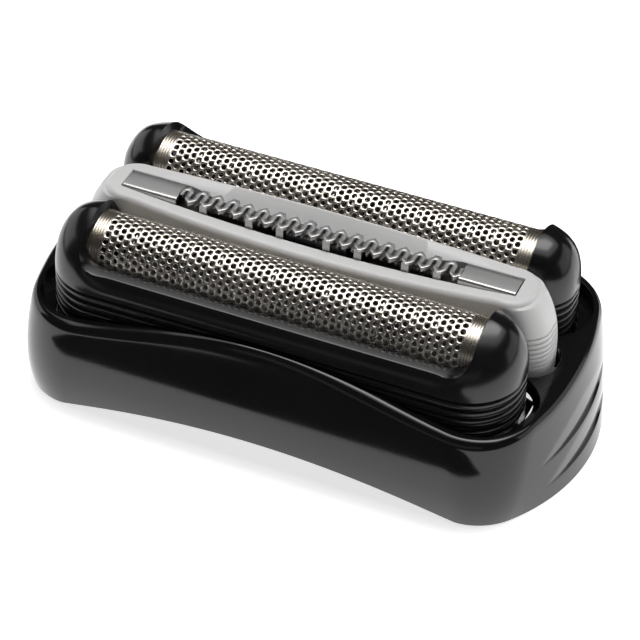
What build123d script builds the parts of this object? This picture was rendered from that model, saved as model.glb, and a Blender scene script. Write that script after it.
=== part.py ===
from build123d import *

import os
from math import asin, cos, pi, sin, sqrt

# Foil head of an electric shaver, as a cassette that clips on the shaver's neck.
# X runs along the foils, -Y is the front, +Z is up, and z = 0 is the plane the frame stands on.
# All sizes are in millimetres.

# Housing: the moulded frame that holds everything
HOUSING_LENGTH = 56.0
BASE_WIDTH = 28.2
SIDE_BULGE = 0.28
SIDE_CURVE = 0.0265
END_LEAN = 0.17
END_CURVE = 0.004
BASE_BOW_RADIUS = 20.0
BOW_OPENING = 2.0
PLAN_CORNER = 6.0
PLAN_CORNER_GROWTH = 0.1
HOUSING_TOP = 13.2

# Rim of the long walls: high at mid-length, falling to the decks at the ends.
# Each point of the rim line is a distance in from the frame's end and a share of the rise.
RIM_TOP = 12.6
DECK_Z = 9.6
RIM_LINE = ((21.0, 0.82), (15.0, 0.43), (9.5, 0.09), (5.0, 0.0), (-2.0, 0.06))
RIM_ROUND = 0.9
LOWER_ARCH = 2.7
ARCH_END_LENGTH = 8.7
ARCH_HALF_SPAN = HOUSING_LENGTH / 2 - ARCH_END_LENGTH

# Hollow of the housing
HOLLOW_SIDE_WALL = 0.8
HOLLOW_HALF_WIDTH = BASE_WIDTH / 2 - HOLLOW_SIDE_WALL
HOLLOW_END_WALL = 1.2
HOLLOW_END_TAPER = 2.4
HOLLOW_BASE_HALF_LENGTH = HOUSING_LENGTH / 2 - HOLLOW_END_WALL
HOLLOW_TOP_HALF_LENGTH = HOLLOW_BASE_HALF_LENGTH - HOLLOW_END_TAPER
HOLLOW_CORNER = 5.0
HOLLOW_BOW_RADIUS = 26.0
CEILING_Z = 8.2

# Finger grips and latch pockets in the end walls
GRIP_LEDGES = (1.95, 4.65)
GRIP_DEPTH = 0.5
GRIP_HEIGHT = 2.4
GRIP_SWEEP = 1.55
LATCH_WIDTH = 8.0
LATCH_HEIGHT = 1.4
LATCH_DEPTH = 0.6
LATCH_Z = 0.7

# Openings in the housing's top
OPENING_GAP = 0.35
OPENING_END_GAP = 1.45
TRIMMER_END_GAP = 0.55

# Foils
FOIL_PITCH = 14.08
FOIL_RADIUS = 3.4
FOIL_THICKNESS = 0.15
FOIL_AXIS_Z = 14.15
FOIL_END_SETBACK = 8.4
FOIL_HALF_LENGTH = HOUSING_LENGTH / 2 - FOIL_END_SETBACK
FOIL_FOOT_Z = 11.6
FOIL_FLATS = 9
HOLE_ROWS = 5
HOLE_PITCH = 2.5
HOLE_LENGTH = 1.3
HOLE_WIDTH = 0.94
HOLE_END_BAND = 2.6

# Foil holders
HOLDER_END_WALL = 3.4
HOLDER_HALF_LENGTH = FOIL_HALF_LENGTH + HOLDER_END_WALL
HOLDER_SIDE_GAP = 1.36
HOLDER_OUTSIDE = (BASE_WIDTH - FOIL_PITCH) / 2 - HOLDER_SIDE_GAP
HOLDER_INSIDE = 3.86
HOLDER_BOTTOM = 8.0
HOLDER_SHOULDER_Z = 12.7
HOLDER_TOP = 18.3
HOLDER_CORNER_FLAT = 0.3
HOLDER_OUTER_CORNER = HOLDER_OUTSIDE - HOLDER_CORNER_FLAT
HOLDER_INNER_CORNER = 3.4
WINDOW_LAP = 0.7
WINDOW_HALF_LENGTH = FOIL_HALF_LENGTH - WINDOW_LAP
WINDOW_FLOOR_Z = 14.5
WINDOW_CORNER = 2.0
FOIL_FIT = 0.03
CUTTER_WELL_HALF_WIDTH = 2.95
RIB_PITCH = 1.15
RIB_COUNT = 3
RIB_GROOVE_DEPTH = 0.3
RIB_GROOVE_HEIGHT = 0.35
RIB_BACK_LIMIT = 2.0
CAP_STEPS = 5
CAP_TURN = 1.37
CAP_END_DEPTH = 3.75
CAP_INNER_DEPTH = 3.6

# Trimmer holder
TRIMMER_HALF_WIDTH = 2.95
TRIMMER_END_OVERHANG = 0.4
TRIMMER_END_LEAN = 2.0
TRIMMER_FOOT_HALF_LENGTH = HOLDER_HALF_LENGTH + TRIMMER_END_OVERHANG
TRIMMER_TOP_HALF_LENGTH = TRIMMER_FOOT_HALF_LENGTH - TRIMMER_END_LEAN
TRIMMER_END_CORNER = 2.4
TRIMMER_BOTTOM = 9.7
TRIMMER_TOP = 17.0
TRIMMER_SADDLE = 0.75
TRIMMER_FLAT_END = 1.4
TRIMMER_SADDLE_SPAN = TRIMMER_TOP_HALF_LENGTH - TRIMMER_FLAT_END
TRIMMER_EDGE = 0.4
TRIMMER_RIB_TOP = 12.6
TRIMMER_RIB_COUNT = 3
TRIMMER_RIB_END = 2.4
TRIMMER_RIB_DEPTH = 0.22
TRIMMER_RIB_GROOVE = 0.2

# Trimmer comb: a steel channel whose top is cut to a serpentine edge
COMB_END_SETBACK = 1.8
COMB_HALF_LENGTH = TRIMMER_TOP_HALF_LENGTH - COMB_END_SETBACK
COMB_HALF_WIDTH = 1.25
COMB_PLATE_LENGTH = 5.2
COMB_PLATE_INNER = COMB_HALF_LENGTH - COMB_PLATE_LENGTH
COMB_SHEET = 0.3
COMB_SIDE_DEPTH = 1.5
COMB_TEETH = 18
COMB_STRAND = 0.42
COMB_LEG_DEPTH = 1.3
COMB_FRONT_LEGS = (1, 4)
COMB_BACK_LEGS = (1, 3)
COMB_PATTERN = 5
COMB_FIT = 0.02

# Trimmer blade and its slider
BLADE_GAP = 0.05
BLADE_THICKNESS = 0.35
BLADE_HALF_WIDTH = 0.9
BLADE_SPINE = 0.45
BLADE_TOOTH = 0.5
BLADE_TEETH = 13
SLIDER_HALF_LENGTH = 3.0
SLIDER_HALF_WIDTH = 0.9
SLIDER_SLOT_GAP = 0.1
SLIDER_BOTTOM = 13.2
SLIDER_SOCKET_TOP = 15.7

# Cutters
CUTTER_CLEARANCE = 0.1
LAMELLA_PITCH = 4.0
LAMELLA_END_MARGIN = 1.0
LAMELLA_THICKNESS = 0.4
LAMELLA_FLATS = 10
CARRIER_END_GAP = 2.3
CARRIER_HALF_LENGTH = FOIL_HALF_LENGTH - CARRIER_END_GAP
CARRIER_HALF_WIDTH = 2.4
CARRIER_BOTTOM = 11.2
CARRIER_TOP = 12.7
HUB_HALF_LENGTH = 2.3
HUB_HALF_WIDTH = 2.0
HUB_BOTTOM = 8.3
HUB_SOCKET_TOP = 12.0

# How far each piece can move
FLOAT_TRAVEL = 1.5
DRIVE_TRAVEL = 1.1

# Retainer plate, its windows and guide slots
PLATE_BOTTOM = 3.4
PLATE_THICKNESS = 1.0
PLATE_FIT = 0.05
PLATE_WINDOW_INNER = 5.6
PLATE_WINDOW_END_GAP = 5.7
PLATE_WINDOW_OUTER = HOLDER_HALF_LENGTH - PLATE_WINDOW_END_GAP
PLATE_WINDOW_HALF_WIDTH = 3.0
END_WINDOW_LENGTH = 3.4
END_WINDOW_OVERHANG = 0.6
END_WINDOW_OUTER = HOLDER_HALF_LENGTH + END_WINDOW_OVERHANG
END_WINDOW_INNER = END_WINDOW_OUTER - END_WINDOW_LENGTH
END_WINDOW_HALF_WIDTH = 5.4
DRIVE_SLOT_HALF_LENGTH = 3.4
DRIVE_SLOT_HALF_WIDTH = 2.4
SNAP_SETBACK = 6.5
SNAP_X = HOLDER_HALF_LENGTH - SNAP_SETBACK
SNAP_LENGTH = 4.0
SNAP_REACH = 0.45
SNAP_HEIGHT = 0.7
SNAP_GAP = 0.05
STOP_LENGTH = 1.3

# Guide legs that pass through the plate and hook under it
LEG_X = 9.0
LEG_WIDTH = 1.6
LEG_THICKNESS = 0.45
LEG_SLOT_GAP = 0.1
HOOK_REACH = 0.4
HOOK_HEIGHT = 0.6
HOOK_GAP = 0.1
TRIMMER_LEG_SETBACK = 10.9
TRIMMER_LEG_X = TRIMMER_FOOT_HALF_LENGTH - TRIMMER_LEG_SETBACK
TRIMMER_LEG_THICKNESS = 0.8

# Drive bridge
BRIDGE_GAP = 0.05
BRIDGE_THICKNESS = 0.8
BRIDGE_HALF_LENGTH = 4.2
BRIDGE_REACH = 1.75
GUIDE_GAP = 0.1
GUIDE_THICKNESS = 0.8
GUIDE_HEIGHT = 1.1
DRIVE_BORE_RADIUS = 1.5
DRIVE_BORE_DEPTH = 3.0
DRIVE_BOSS_RADIUS = 2.3
DRIVE_BOSS_TOP = 8.1
POST_RADIUS = 1.05
POST_TOP = 9.2
TRIMMER_PIN_RADIUS = 0.6
TRIMMER_PIN_TOP = 14.1
PIN_CLEARANCE = 0.05

# Springs: square wire wound in flat-sided turns
SPRING_RADIUS = 0.9
SPRING_WIRE = 0.3
SPRING_SIDES = 6
SPRING_TURNS = 3
SPRING_END_SETBACK = 2.3
SPRING_X = HOLDER_HALF_LENGTH - SPRING_END_SETBACK
SPRING_POCKET_GAP = 0.2
SPRING_POCKET_TOP = 11.4
SPRING_PEG = 0.7
SPRING_PEG_HEIGHT = 0.9
SPRING_SEAT_GAP = 0.03
TRIMMER_SPRING_SETBACK = 6.8
TRIMMER_SPRING_X = TRIMMER_FOOT_HALF_LENGTH - TRIMMER_SPRING_SETBACK
TRIMMER_POCKET_TOP = 12.8
CUTTER_SPRING_RADIUS = 0.75
CUTTER_SPRING_TURNS = 2

# Places worked out from the sizes above
FOIL_Y = FOIL_PITCH / 2
HOLDER_FRONT = -FOIL_Y - HOLDER_OUTSIDE
HOLDER_BACK = -FOIL_Y + HOLDER_INSIDE
FOIL_INNER = FOIL_RADIUS - FOIL_THICKNESS
LAMELLA_COUNT = int(2 * (CARRIER_HALF_LENGTH - LAMELLA_END_MARGIN) // LAMELLA_PITCH) + 1
PLATE_TOP = PLATE_BOTTOM + PLATE_THICKNESS
BRIDGE_BOTTOM = PLATE_TOP + BRIDGE_GAP
BRIDGE_TOP = BRIDGE_BOTTOM + BRIDGE_THICKNESS
BRIDGE_HALF_WIDTH = FOIL_Y + BRIDGE_REACH
LAMELLA_RADIUS = FOIL_INNER - CUTTER_CLEARANCE
COMB_UNDERSIDE = TRIMMER_TOP - COMB_SHEET
BLADE_TOP = COMB_UNDERSIDE - BLADE_GAP
BLADE_BOTTOM = BLADE_TOP - BLADE_THICKNESS
HOOK_TOP = PLATE_BOTTOM - HOOK_GAP
SPRING_POCKET_RADIUS = SPRING_RADIUS + SPRING_WIRE / 2 + SPRING_POCKET_GAP
FAR = 3 * HOUSING_LENGTH


def block(x0, x1, y0, y1, z0, z1):
    """Box between two corners."""
    size = Box(x1 - x0, y1 - y0, z1 - z0)
    return Pos((x0 + x1) / 2, (y0 + y1) / 2, (z0 + z1) / 2) * size


def rod(x, y, z0, z1, radius):
    """Upright round bar from z0 to z1."""
    return Pos(x, y, (z0 + z1) / 2) * Cylinder(radius, z1 - z0)


def bowed_rectangle(half_length, half_width, bow_radius, corner):
    """Rectangle with its short ends bowed outwards and its corners rounded."""
    end_x = half_length - bow_radius + sqrt(bow_radius**2 - half_width**2)
    outline = [
        Line((-end_x, -half_width), (end_x, -half_width)),
        ThreePointArc((end_x, -half_width), (half_length, 0), (end_x, half_width)),
        Line((end_x, half_width), (-end_x, half_width)),
        ThreePointArc((-end_x, half_width), (-half_length, 0), (-end_x, -half_width)),
    ]
    return fillet(make_face(outline).vertices(), corner)


def rounded_plan(half_length, front, back, front_corner, back_corner):
    """Rectangle from y = front to y = back, with its own corner radius on each long side."""
    plan = Pos(0, (front + back) / 2) * Rectangle(2 * half_length, back - front)
    plan = fillet(plan.vertices().sort_by(Axis.Y)[:2], front_corner)
    return fillet(plan.vertices().sort_by(Axis.Y)[-2:], back_corner)


def at_height(sketch, z):
    return Pos(0, 0, z) * sketch


def housing_half_length(z):
    """Half length of the housing's outside at height z: the ends lean in and curve over."""
    return HOUSING_LENGTH / 2 - END_LEAN * z - END_CURVE * z**2


def housing_half_width(z):
    """Half width of the housing's outside at height z: the long walls bulge and then draw in."""
    return BASE_WIDTH / 2 + SIDE_BULGE * z - SIDE_CURVE * z**2


def end_bow(z):
    """Radius of the end walls in plan, which opens out with height."""
    return BASE_BOW_RADIUS + BOW_OPENING * z


def housing_outline(z):
    """Plan outline of the housing at height z, as one smooth closed curve.

    Its points follow the bowed end, the round corner and the straight side of one quarter."""
    bow = end_bow(z)
    corner = PLAN_CORNER + PLAN_CORNER_GROWTH * z
    bow_x = housing_half_length(z) - bow
    corner_y = housing_half_width(z) - corner
    turn = asin(corner_y / (bow - corner))
    corner_x = bow_x + (bow - corner) * cos(turn)
    quarter = []
    for step in range(4):
        angle = turn * step / 4
        quarter.append((bow_x + bow * cos(angle), bow * sin(angle)))
    for step in range(5):
        angle = turn + (pi / 2 - turn) * step / 4
        quarter.append((corner_x + corner * cos(angle), corner_y + corner * sin(angle)))
    quarter += [(share * corner_x, corner_y + corner) for share in (0.62, 0.25)]
    half = quarter + [(-x, y) for x, y in reversed(quarter)]
    loop = half + [(-x, -y) for x, y in half[1:-1]]
    return make_face(Spline(*[(x, y, z) for x, y in loop], periodic=True))


def housing_outside():
    """Solid form of the housing: plan outlines lofted upwards, cut by the rim line, edge rounded."""
    half = HOUSING_LENGTH / 2
    right = [(half - inward, DECK_Z + share * (RIM_TOP - DECK_Z)) for inward, share in RIM_LINE]
    left = [(-x, z) for x, z in reversed(right)]
    reach = right[-1][0]
    low = -HOUSING_TOP
    profile = [
        Spline(*left, (0, RIM_TOP), *right),
        Line(right[-1], (reach, low)),
        Line((reach, low), (-reach, low)),
        Line((-reach, low), left[0]),
    ]
    under_rim = extrude(Plane.XZ * make_face(profile), FAR, both=True)
    form = loft([housing_outline(HOUSING_TOP * step / 3) for step in range(4)]) & under_rim
    return fillet(form.faces().sort_by(Axis.Z)[-1].edges(), RIM_ROUND)


def hollow_half_length(z):
    """Half length of the hollow at height z: its ends lean in like the outside."""
    return HOLLOW_BASE_HALF_LENGTH - (HOLLOW_BASE_HALF_LENGTH - HOLLOW_TOP_HALF_LENGTH) * z / CEILING_Z


def hollow_outline(z, inset=0):
    half_length = hollow_half_length(z) - inset
    half_width = HOLLOW_HALF_WIDTH - inset
    return at_height(bowed_rectangle(half_length, half_width, HOLLOW_BOW_RADIUS, HOLLOW_CORNER), z)


def arch_cutter(rise, half_span, half_width):
    """Bar with a round top, rise high at mid-length, that ends at the floor at half_span."""
    radius = (half_span**2 + rise**2) / (2 * rise)
    return Pos(0, 0, rise - radius) * Rot(90, 0, 0) * Cylinder(radius, 2 * half_width)


def grip_cutter(ledge):
    """Ring that bites a leaf-shaped finger grip in the right end wall, with a flat ledge below."""
    wall = housing_half_length(ledge)
    clear = housing_half_length(ledge + GRIP_HEIGHT) + GRIP_DEPTH / 2
    outer = wall + GRIP_HEIGHT
    sweep = GRIP_SWEEP * end_bow(ledge)
    section = Polyline(
        (wall - GRIP_DEPTH, ledge), (outer, ledge), (outer, ledge + GRIP_HEIGHT),
        (clear, ledge + GRIP_HEIGHT), close=True)
    return revolve(Plane.XZ * make_face(section), Axis((wall - sweep, 0, 0), (0, 0, 1)))


def make_housing():
    housing = housing_outside()
    for ledge in GRIP_LEDGES:
        grip = grip_cutter(ledge)
        housing = housing - grip - mirror(grip, about=Plane.YZ)
    housing -= arch_cutter(LOWER_ARCH, ARCH_HALF_SPAN, BASE_WIDTH)
    hollow = loft([hollow_outline(0), hollow_outline(CEILING_Z)])
    front_opening = rounded_plan(
        HOLDER_HALF_LENGTH + OPENING_END_GAP, HOLDER_FRONT - OPENING_GAP, HOLDER_BACK + OPENING_END_GAP,
        HOLDER_OUTER_CORNER, HOLDER_OUTER_CORNER)
    half_gap = TRIMMER_HALF_WIDTH + OPENING_GAP
    trimmer_opening = rounded_plan(
        TRIMMER_FOOT_HALF_LENGTH + TRIMMER_END_GAP, -half_gap, half_gap,
        TRIMMER_HALF_WIDTH, TRIMMER_HALF_WIDTH)
    opening = front_opening + mirror(front_opening, about=Plane.XZ) + trimmer_opening
    housing = housing - hollow - extrude(opening, HOUSING_TOP + 1)
    latch_x = hollow_half_length(LATCH_Z + LATCH_HEIGHT / 2)
    for side in (1, -1):
        pocket = Box(2 * LATCH_DEPTH, LATCH_WIDTH, LATCH_HEIGHT)
        housing -= Pos(side * latch_x, 0, LATCH_Z + LATCH_HEIGHT / 2) * pocket
    snap_top = PLATE_BOTTOM - SNAP_GAP
    for x in (-SNAP_X, SNAP_X):
        for side in (1, -1):
            y = side * HOLLOW_HALF_WIDTH
            snap = Box(SNAP_LENGTH, 2 * SNAP_REACH, SNAP_HEIGHT)
            housing += Pos(x, y, snap_top - SNAP_HEIGHT / 2) * snap
            stop = Box(STOP_LENGTH, 2 * SNAP_REACH, CEILING_Z - PLATE_TOP)
            housing += Pos(x, y, (PLATE_TOP + CEILING_Z) / 2) * stop
    return housing


def holder_section(z, half_length, outside, inside):
    """Plan outline of the foil holder's cap at height z."""
    outer_corner = min(HOLDER_OUTER_CORNER, 0.55 * (outside + inside))
    inner_corner = min(HOLDER_INNER_CORNER, 0.4 * (outside + inside))
    plan = rounded_plan(half_length, -FOIL_Y - outside, -FOIL_Y + inside, outer_corner, inner_corner)
    return at_height(plan, z)


def guide_leg(x, y, thickness, top, hook_side):
    """Leg down through the plate, with a hook under the plate towards hook_side."""
    low = HOOK_TOP - HOOK_HEIGHT
    leg = block(x - LEG_WIDTH / 2, x + LEG_WIDTH / 2, y - thickness / 2, y + thickness / 2, low, top)
    tip = y + hook_side * (thickness / 2 + HOOK_REACH)
    y0, y1 = sorted((y, tip))
    return leg + block(x - LEG_WIDTH / 2, x + LEG_WIDTH / 2, y0, y1, low, HOOK_TOP)


LEG_ROWS = ((HOLDER_FRONT + LEG_THICKNESS, 1), (HOLDER_BACK - LEG_THICKNESS / 2, -1))


def foil_sheet(grow, foot):
    """Unperforated foil: an arch of narrow flats on two straight legs, grown by a clearance."""
    def arch(radius):
        turn = [pi * step / FOIL_FLATS for step in range(FOIL_FLATS + 1)]
        points = [(radius * cos(t) - FOIL_Y, radius * sin(t) + FOIL_AXIS_Z) for t in turn]
        return [(radius - FOIL_Y, foot)] + points + [(-radius - FOIL_Y, foot)]

    half = FOIL_HALF_LENGTH + grow
    band = make_face(Polyline(*arch(FOIL_RADIUS + grow), *reversed(arch(FOIL_INNER - grow)), close=True))
    return extrude(Plane((-half, 0, 0), x_dir=(0, 1, 0), z_dir=(1, 0, 0)) * band, 2 * half)


def dome_inset(share, depth, power):
    """How far the cap has drawn in at a share of its height: a superellipse quarter."""
    return depth * (1 - sqrt(1 - share**power))


def make_foil_holder():
    skirt_plan = holder_section(
        HOLDER_BOTTOM, HOLDER_HALF_LENGTH, HOLDER_OUTSIDE, HOLDER_INSIDE)
    skirt = extrude(skirt_plan, HOLDER_SHOULDER_Z - HOLDER_BOTTOM)
    rise = HOLDER_TOP - HOLDER_SHOULDER_Z
    cap_sections = []
    for step in range(CAP_STEPS + 1):
        share = sin(CAP_TURN * step / CAP_STEPS)
        z = HOLDER_SHOULDER_Z + rise * share / sin(CAP_TURN)
        cap_sections.append(holder_section(
            z, HOLDER_HALF_LENGTH - dome_inset(share, CAP_END_DEPTH, 2.6),
            HOLDER_OUTSIDE - dome_inset(share, HOLDER_OUTSIDE, 2.0),
            HOLDER_INSIDE - dome_inset(share, CAP_INNER_DEPTH, 4.0)))
    cap = loft(cap_sections, ruled=True)
    holder = skirt + cap
    window = RectangleRounded(2 * WINDOW_HALF_LENGTH, 2 * HOLDER_TOP, WINDOW_CORNER)
    window = Plane.XZ * Pos(0, WINDOW_FLOOR_Z + HOLDER_TOP) * window
    holder -= extrude(window, FAR, both=True)
    well = WINDOW_HALF_LENGTH
    foil_slot = FOIL_RADIUS + FOIL_FIT
    holder -= block(-well, well, -FOIL_Y - foil_slot, -FOIL_Y + foil_slot, FOIL_FOOT_Z - FOIL_FIT, FAR)
    holder -= block(-well, well, -FOIL_Y - CUTTER_WELL_HALF_WIDTH, -FOIL_Y + CUTTER_WELL_HALF_WIDTH, 0, FAR)
    holder -= foil_sheet(FOIL_FIT, FOIL_FOOT_Z - FOIL_FIT)
    ribbed = skirt_plan - offset(skirt_plan, -RIB_GROOVE_DEPTH)
    ribbed -= Pos(0, HOLDER_BACK) * Rectangle(FAR, 2 * RIB_BACK_LIMIT)
    for rib in range(RIB_COUNT):
        z = HOLDER_SHOULDER_Z - rib * RIB_PITCH - RIB_GROOVE_HEIGHT
        holder -= extrude(at_height(ribbed, z - HOLDER_BOTTOM), RIB_GROOVE_HEIGHT)
    for x in (-SPRING_X, SPRING_X):
        holder -= rod(x, -FOIL_Y, 0, SPRING_POCKET_TOP, SPRING_POCKET_RADIUS)
    for x in (-LEG_X, LEG_X):
        for y, hook_side in LEG_ROWS:
            holder += guide_leg(x, y, LEG_THICKNESS, HOLDER_BOTTOM + LEG_THICKNESS, hook_side)
    return holder


def make_foil():
    """Bent steel sheet with staggered rows of six-sided holes."""
    foil = foil_sheet(0, FOIL_FOOT_Z)
    half_run = FOIL_HALF_LENGTH - HOLE_END_BAND
    holes = []
    for row in range(HOLE_ROWS):
        angle = (row - (HOLE_ROWS - 1) / 2) * 180 / FOIL_FLATS
        shift = HOLE_PITCH / 2 * (row % 2)
        count = int((2 * half_run - shift) // HOLE_PITCH) + 1
        start = -half_run + shift
        for index in range(count):
            hexagon = Polygon(
                (-HOLE_LENGTH / 2, 0), (-HOLE_LENGTH / 4, -HOLE_WIDTH / 2), (HOLE_LENGTH / 4, -HOLE_WIDTH / 2),
                (HOLE_LENGTH / 2, 0), (HOLE_LENGTH / 4, HOLE_WIDTH / 2), (-HOLE_LENGTH / 4, HOLE_WIDTH / 2),
                align=None)
            punch = extrude(Pos(0, 0, FOIL_INNER - 1) * hexagon, FOIL_THICKNESS + 2)
            place = Pos(start + index * HOLE_PITCH, -FOIL_Y, FOIL_AXIS_Z) * Rot(angle, 0, 0)
            holes.append(place * punch)
    return foil.cut(*holes)


def make_cutter_carrier():
    carrier = block(
        -CARRIER_HALF_LENGTH, CARRIER_HALF_LENGTH, -FOIL_Y - CARRIER_HALF_WIDTH,
        -FOIL_Y + CARRIER_HALF_WIDTH, CARRIER_BOTTOM, CARRIER_TOP)
    carrier += block(
        -HUB_HALF_LENGTH, HUB_HALF_LENGTH, -FOIL_Y - HUB_HALF_WIDTH, -FOIL_Y + HUB_HALF_WIDTH,
        HUB_BOTTOM, CARRIER_BOTTOM)
    return carrier - rod(0, -FOIL_Y, 0, HUB_SOCKET_TOP, POST_RADIUS + PIN_CLEARANCE)


def make_cutter_blades():
    """Row of thin steel half-discs that stand on the carrier, one solid each."""
    half_chord = sqrt(LAMELLA_RADIUS**2 - (FOIL_AXIS_Z - CARRIER_TOP) ** 2)
    start = -asin((FOIL_AXIS_Z - CARRIER_TOP) / LAMELLA_RADIUS)
    turn = (pi - 2 * start) / LAMELLA_FLATS
    rim = [start + turn * step for step in range(1, LAMELLA_FLATS)]
    points = [(half_chord - FOIL_Y, CARRIER_TOP)]
    points += [(LAMELLA_RADIUS * cos(t) - FOIL_Y, LAMELLA_RADIUS * sin(t) + FOIL_AXIS_Z) for t in rim]
    points.append((-half_chord - FOIL_Y, CARRIER_TOP))
    lamella = extrude(Plane.YZ * make_face(Polyline(*points, close=True)), LAMELLA_THICKNESS / 2, both=True)
    places = [(i - (LAMELLA_COUNT - 1) / 2) * LAMELLA_PITCH for i in range(LAMELLA_COUNT)]
    return Compound([Pos(x, 0, 0) * lamella for x in places])


def trimmer_plan(z, half_length):
    """Plan outline of the trimmer holder at height z."""
    half_width = TRIMMER_HALF_WIDTH
    plan = rounded_plan(half_length, -half_width, half_width, TRIMMER_END_CORNER, TRIMMER_END_CORNER)
    return at_height(plan, z)


def make_trimmer_holder():
    drawn_in = TRIMMER_FOOT_HALF_LENGTH - TRIMMER_TOP_HALF_LENGTH
    sections = []
    for share in (0, 0.5, 0.8, 1):
        z = TRIMMER_BOTTOM + share * (TRIMMER_TOP - TRIMMER_BOTTOM)
        sections.append(trimmer_plan(z, TRIMMER_FOOT_HALF_LENGTH - drawn_in * share**3))
    foot = sections[0]
    holder = loft(sections, ruled=True)
    holder = chamfer(holder.faces().sort_by(Axis.Z)[-1].edges(), TRIMMER_EDGE)
    radius = (TRIMMER_SADDLE_SPAN**2 + TRIMMER_SADDLE**2) / (2 * TRIMMER_SADDLE)
    holder -= Pos(0, 0, TRIMMER_TOP - TRIMMER_SADDLE + radius) * Rot(90, 0, 0) * Cylinder(radius, FAR)
    comb_y = COMB_HALF_WIDTH + COMB_FIT
    comb_x = COMB_HALF_LENGTH + COMB_FIT
    holder -= block(-comb_x, comb_x, -comb_y, comb_y, TRIMMER_TOP - COMB_SIDE_DEPTH - COMB_FIT, FAR)
    slot_x = SLIDER_HALF_LENGTH + 2 * DRIVE_TRAVEL
    slot_y = SLIDER_HALF_WIDTH + SLIDER_SLOT_GAP
    holder -= block(-slot_x, slot_x, -slot_y, slot_y, 0, FAR)
    step = (TRIMMER_RIB_TOP - TRIMMER_BOTTOM) / TRIMMER_RIB_COUNT
    plain = Rectangle(2 * (TRIMMER_FOOT_HALF_LENGTH - TRIMMER_RIB_END), FAR)
    ribbed = offset(foot, 1) - offset(foot, -TRIMMER_RIB_DEPTH) - at_height(plain, TRIMMER_BOTTOM)
    for rib in range(TRIMMER_RIB_COUNT):
        rise = TRIMMER_RIB_TOP - TRIMMER_BOTTOM - rib * step - TRIMMER_RIB_GROOVE
        holder -= extrude(at_height(ribbed, rise), TRIMMER_RIB_GROOVE)
    for x in (-TRIMMER_SPRING_X, TRIMMER_SPRING_X):
        holder -= rod(x, 0, 0, TRIMMER_POCKET_TOP, SPRING_POCKET_RADIUS)
    for x in (-TRIMMER_LEG_X, TRIMMER_LEG_X):
        holder += guide_leg(x, 0, TRIMMER_LEG_THICKNESS, TRIMMER_BOTTOM + 1, 1)
    return holder


def comb_pitch():
    return 2 * COMB_PLATE_INNER / (2 * COMB_TEETH + 1)


def make_trimmer_comb():
    """Folded steel channel: two end plates joined by a strand that zigzags from edge to edge."""
    bottom = TRIMMER_TOP - COMB_SIDE_DEPTH
    comb = None
    for side in (1, -1):
        x0, x1 = sorted((side * COMB_PLATE_INNER, side * COMB_HALF_LENGTH))
        plate = block(x0, x1, -COMB_HALF_WIDTH, COMB_HALF_WIDTH, bottom, TRIMMER_TOP)
        plate -= block(
            x0, x1, COMB_SHEET - COMB_HALF_WIDTH, COMB_HALF_WIDTH - COMB_SHEET, bottom, COMB_UNDERSIDE)
        comb = plate if comb is None else comb + plate
    step = comb_pitch()
    half = COMB_STRAND / 2
    depth = 2 * COMB_HALF_WIDTH
    notch = depth * half / step
    front_side, back_side = [], []
    count = 2 * COMB_TEETH
    start = -COMB_PLATE_INNER + step
    for index in range(count):
        x = start + index * step
        if index % 2 == 0:
            front_side += [(x - half, -COMB_HALF_WIDTH), (x + half, -COMB_HALF_WIDTH)]
            back_side.append((x, -COMB_HALF_WIDTH + notch))
        else:
            back_side += [(x - half, COMB_HALF_WIDTH), (x + half, COMB_HALF_WIDTH)]
            front_side.append((x, COMB_HALF_WIDTH - notch))
    left = (-COMB_PLATE_INNER, COMB_HALF_WIDTH - COMB_STRAND)
    left_top = (-COMB_PLATE_INNER, COMB_HALF_WIDTH)
    right = (COMB_PLATE_INNER, -COMB_HALF_WIDTH)
    right_top = (COMB_PLATE_INNER, -COMB_HALF_WIDTH + COMB_STRAND)
    outline = [left] + front_side + [right, right_top] + back_side[::-1] + [left_top]
    strand = make_face(Polyline(*outline, close=True))
    comb += extrude(at_height(strand, COMB_UNDERSIDE), COMB_SHEET)
    leg_low = TRIMMER_TOP - COMB_LEG_DEPTH
    for tooth in range(COMB_TEETH):
        front_x = start + 2 * tooth * step
        if tooth % COMB_PATTERN in COMB_FRONT_LEGS:
            comb += block(
                front_x - half, front_x + half, -COMB_HALF_WIDTH, COMB_SHEET - COMB_HALF_WIDTH,
                leg_low, TRIMMER_TOP)
        if tooth % COMB_PATTERN in COMB_BACK_LEGS:
            back_x = front_x + step
            comb += block(
                back_x - half, back_x + half, COMB_HALF_WIDTH - COMB_SHEET, COMB_HALF_WIDTH,
                leg_low, TRIMMER_TOP)
    return comb


def make_trimmer_blade():
    """Thin double-edged blade with a row of square teeth on each side."""
    half_run = COMB_PLATE_INNER - DRIVE_TRAVEL
    blade = Rectangle(2 * half_run, 2 * BLADE_SPINE)
    pitch = 2 * half_run / BLADE_TEETH
    for tooth in range(BLADE_TEETH):
        x = -half_run + (tooth + 0.5) * pitch
        blade += Pos(x, 0) * Rectangle(2 * BLADE_TOOTH, 2 * BLADE_HALF_WIDTH)
    return extrude(at_height(blade, BLADE_BOTTOM), BLADE_THICKNESS)


def make_trimmer_slider():
    slider = block(
        -SLIDER_HALF_LENGTH, SLIDER_HALF_LENGTH, -SLIDER_HALF_WIDTH, SLIDER_HALF_WIDTH,
        SLIDER_BOTTOM, BLADE_BOTTOM)
    return slider - rod(0, 0, 0, SLIDER_SOCKET_TOP, TRIMMER_PIN_RADIUS + PIN_CLEARANCE)


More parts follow.
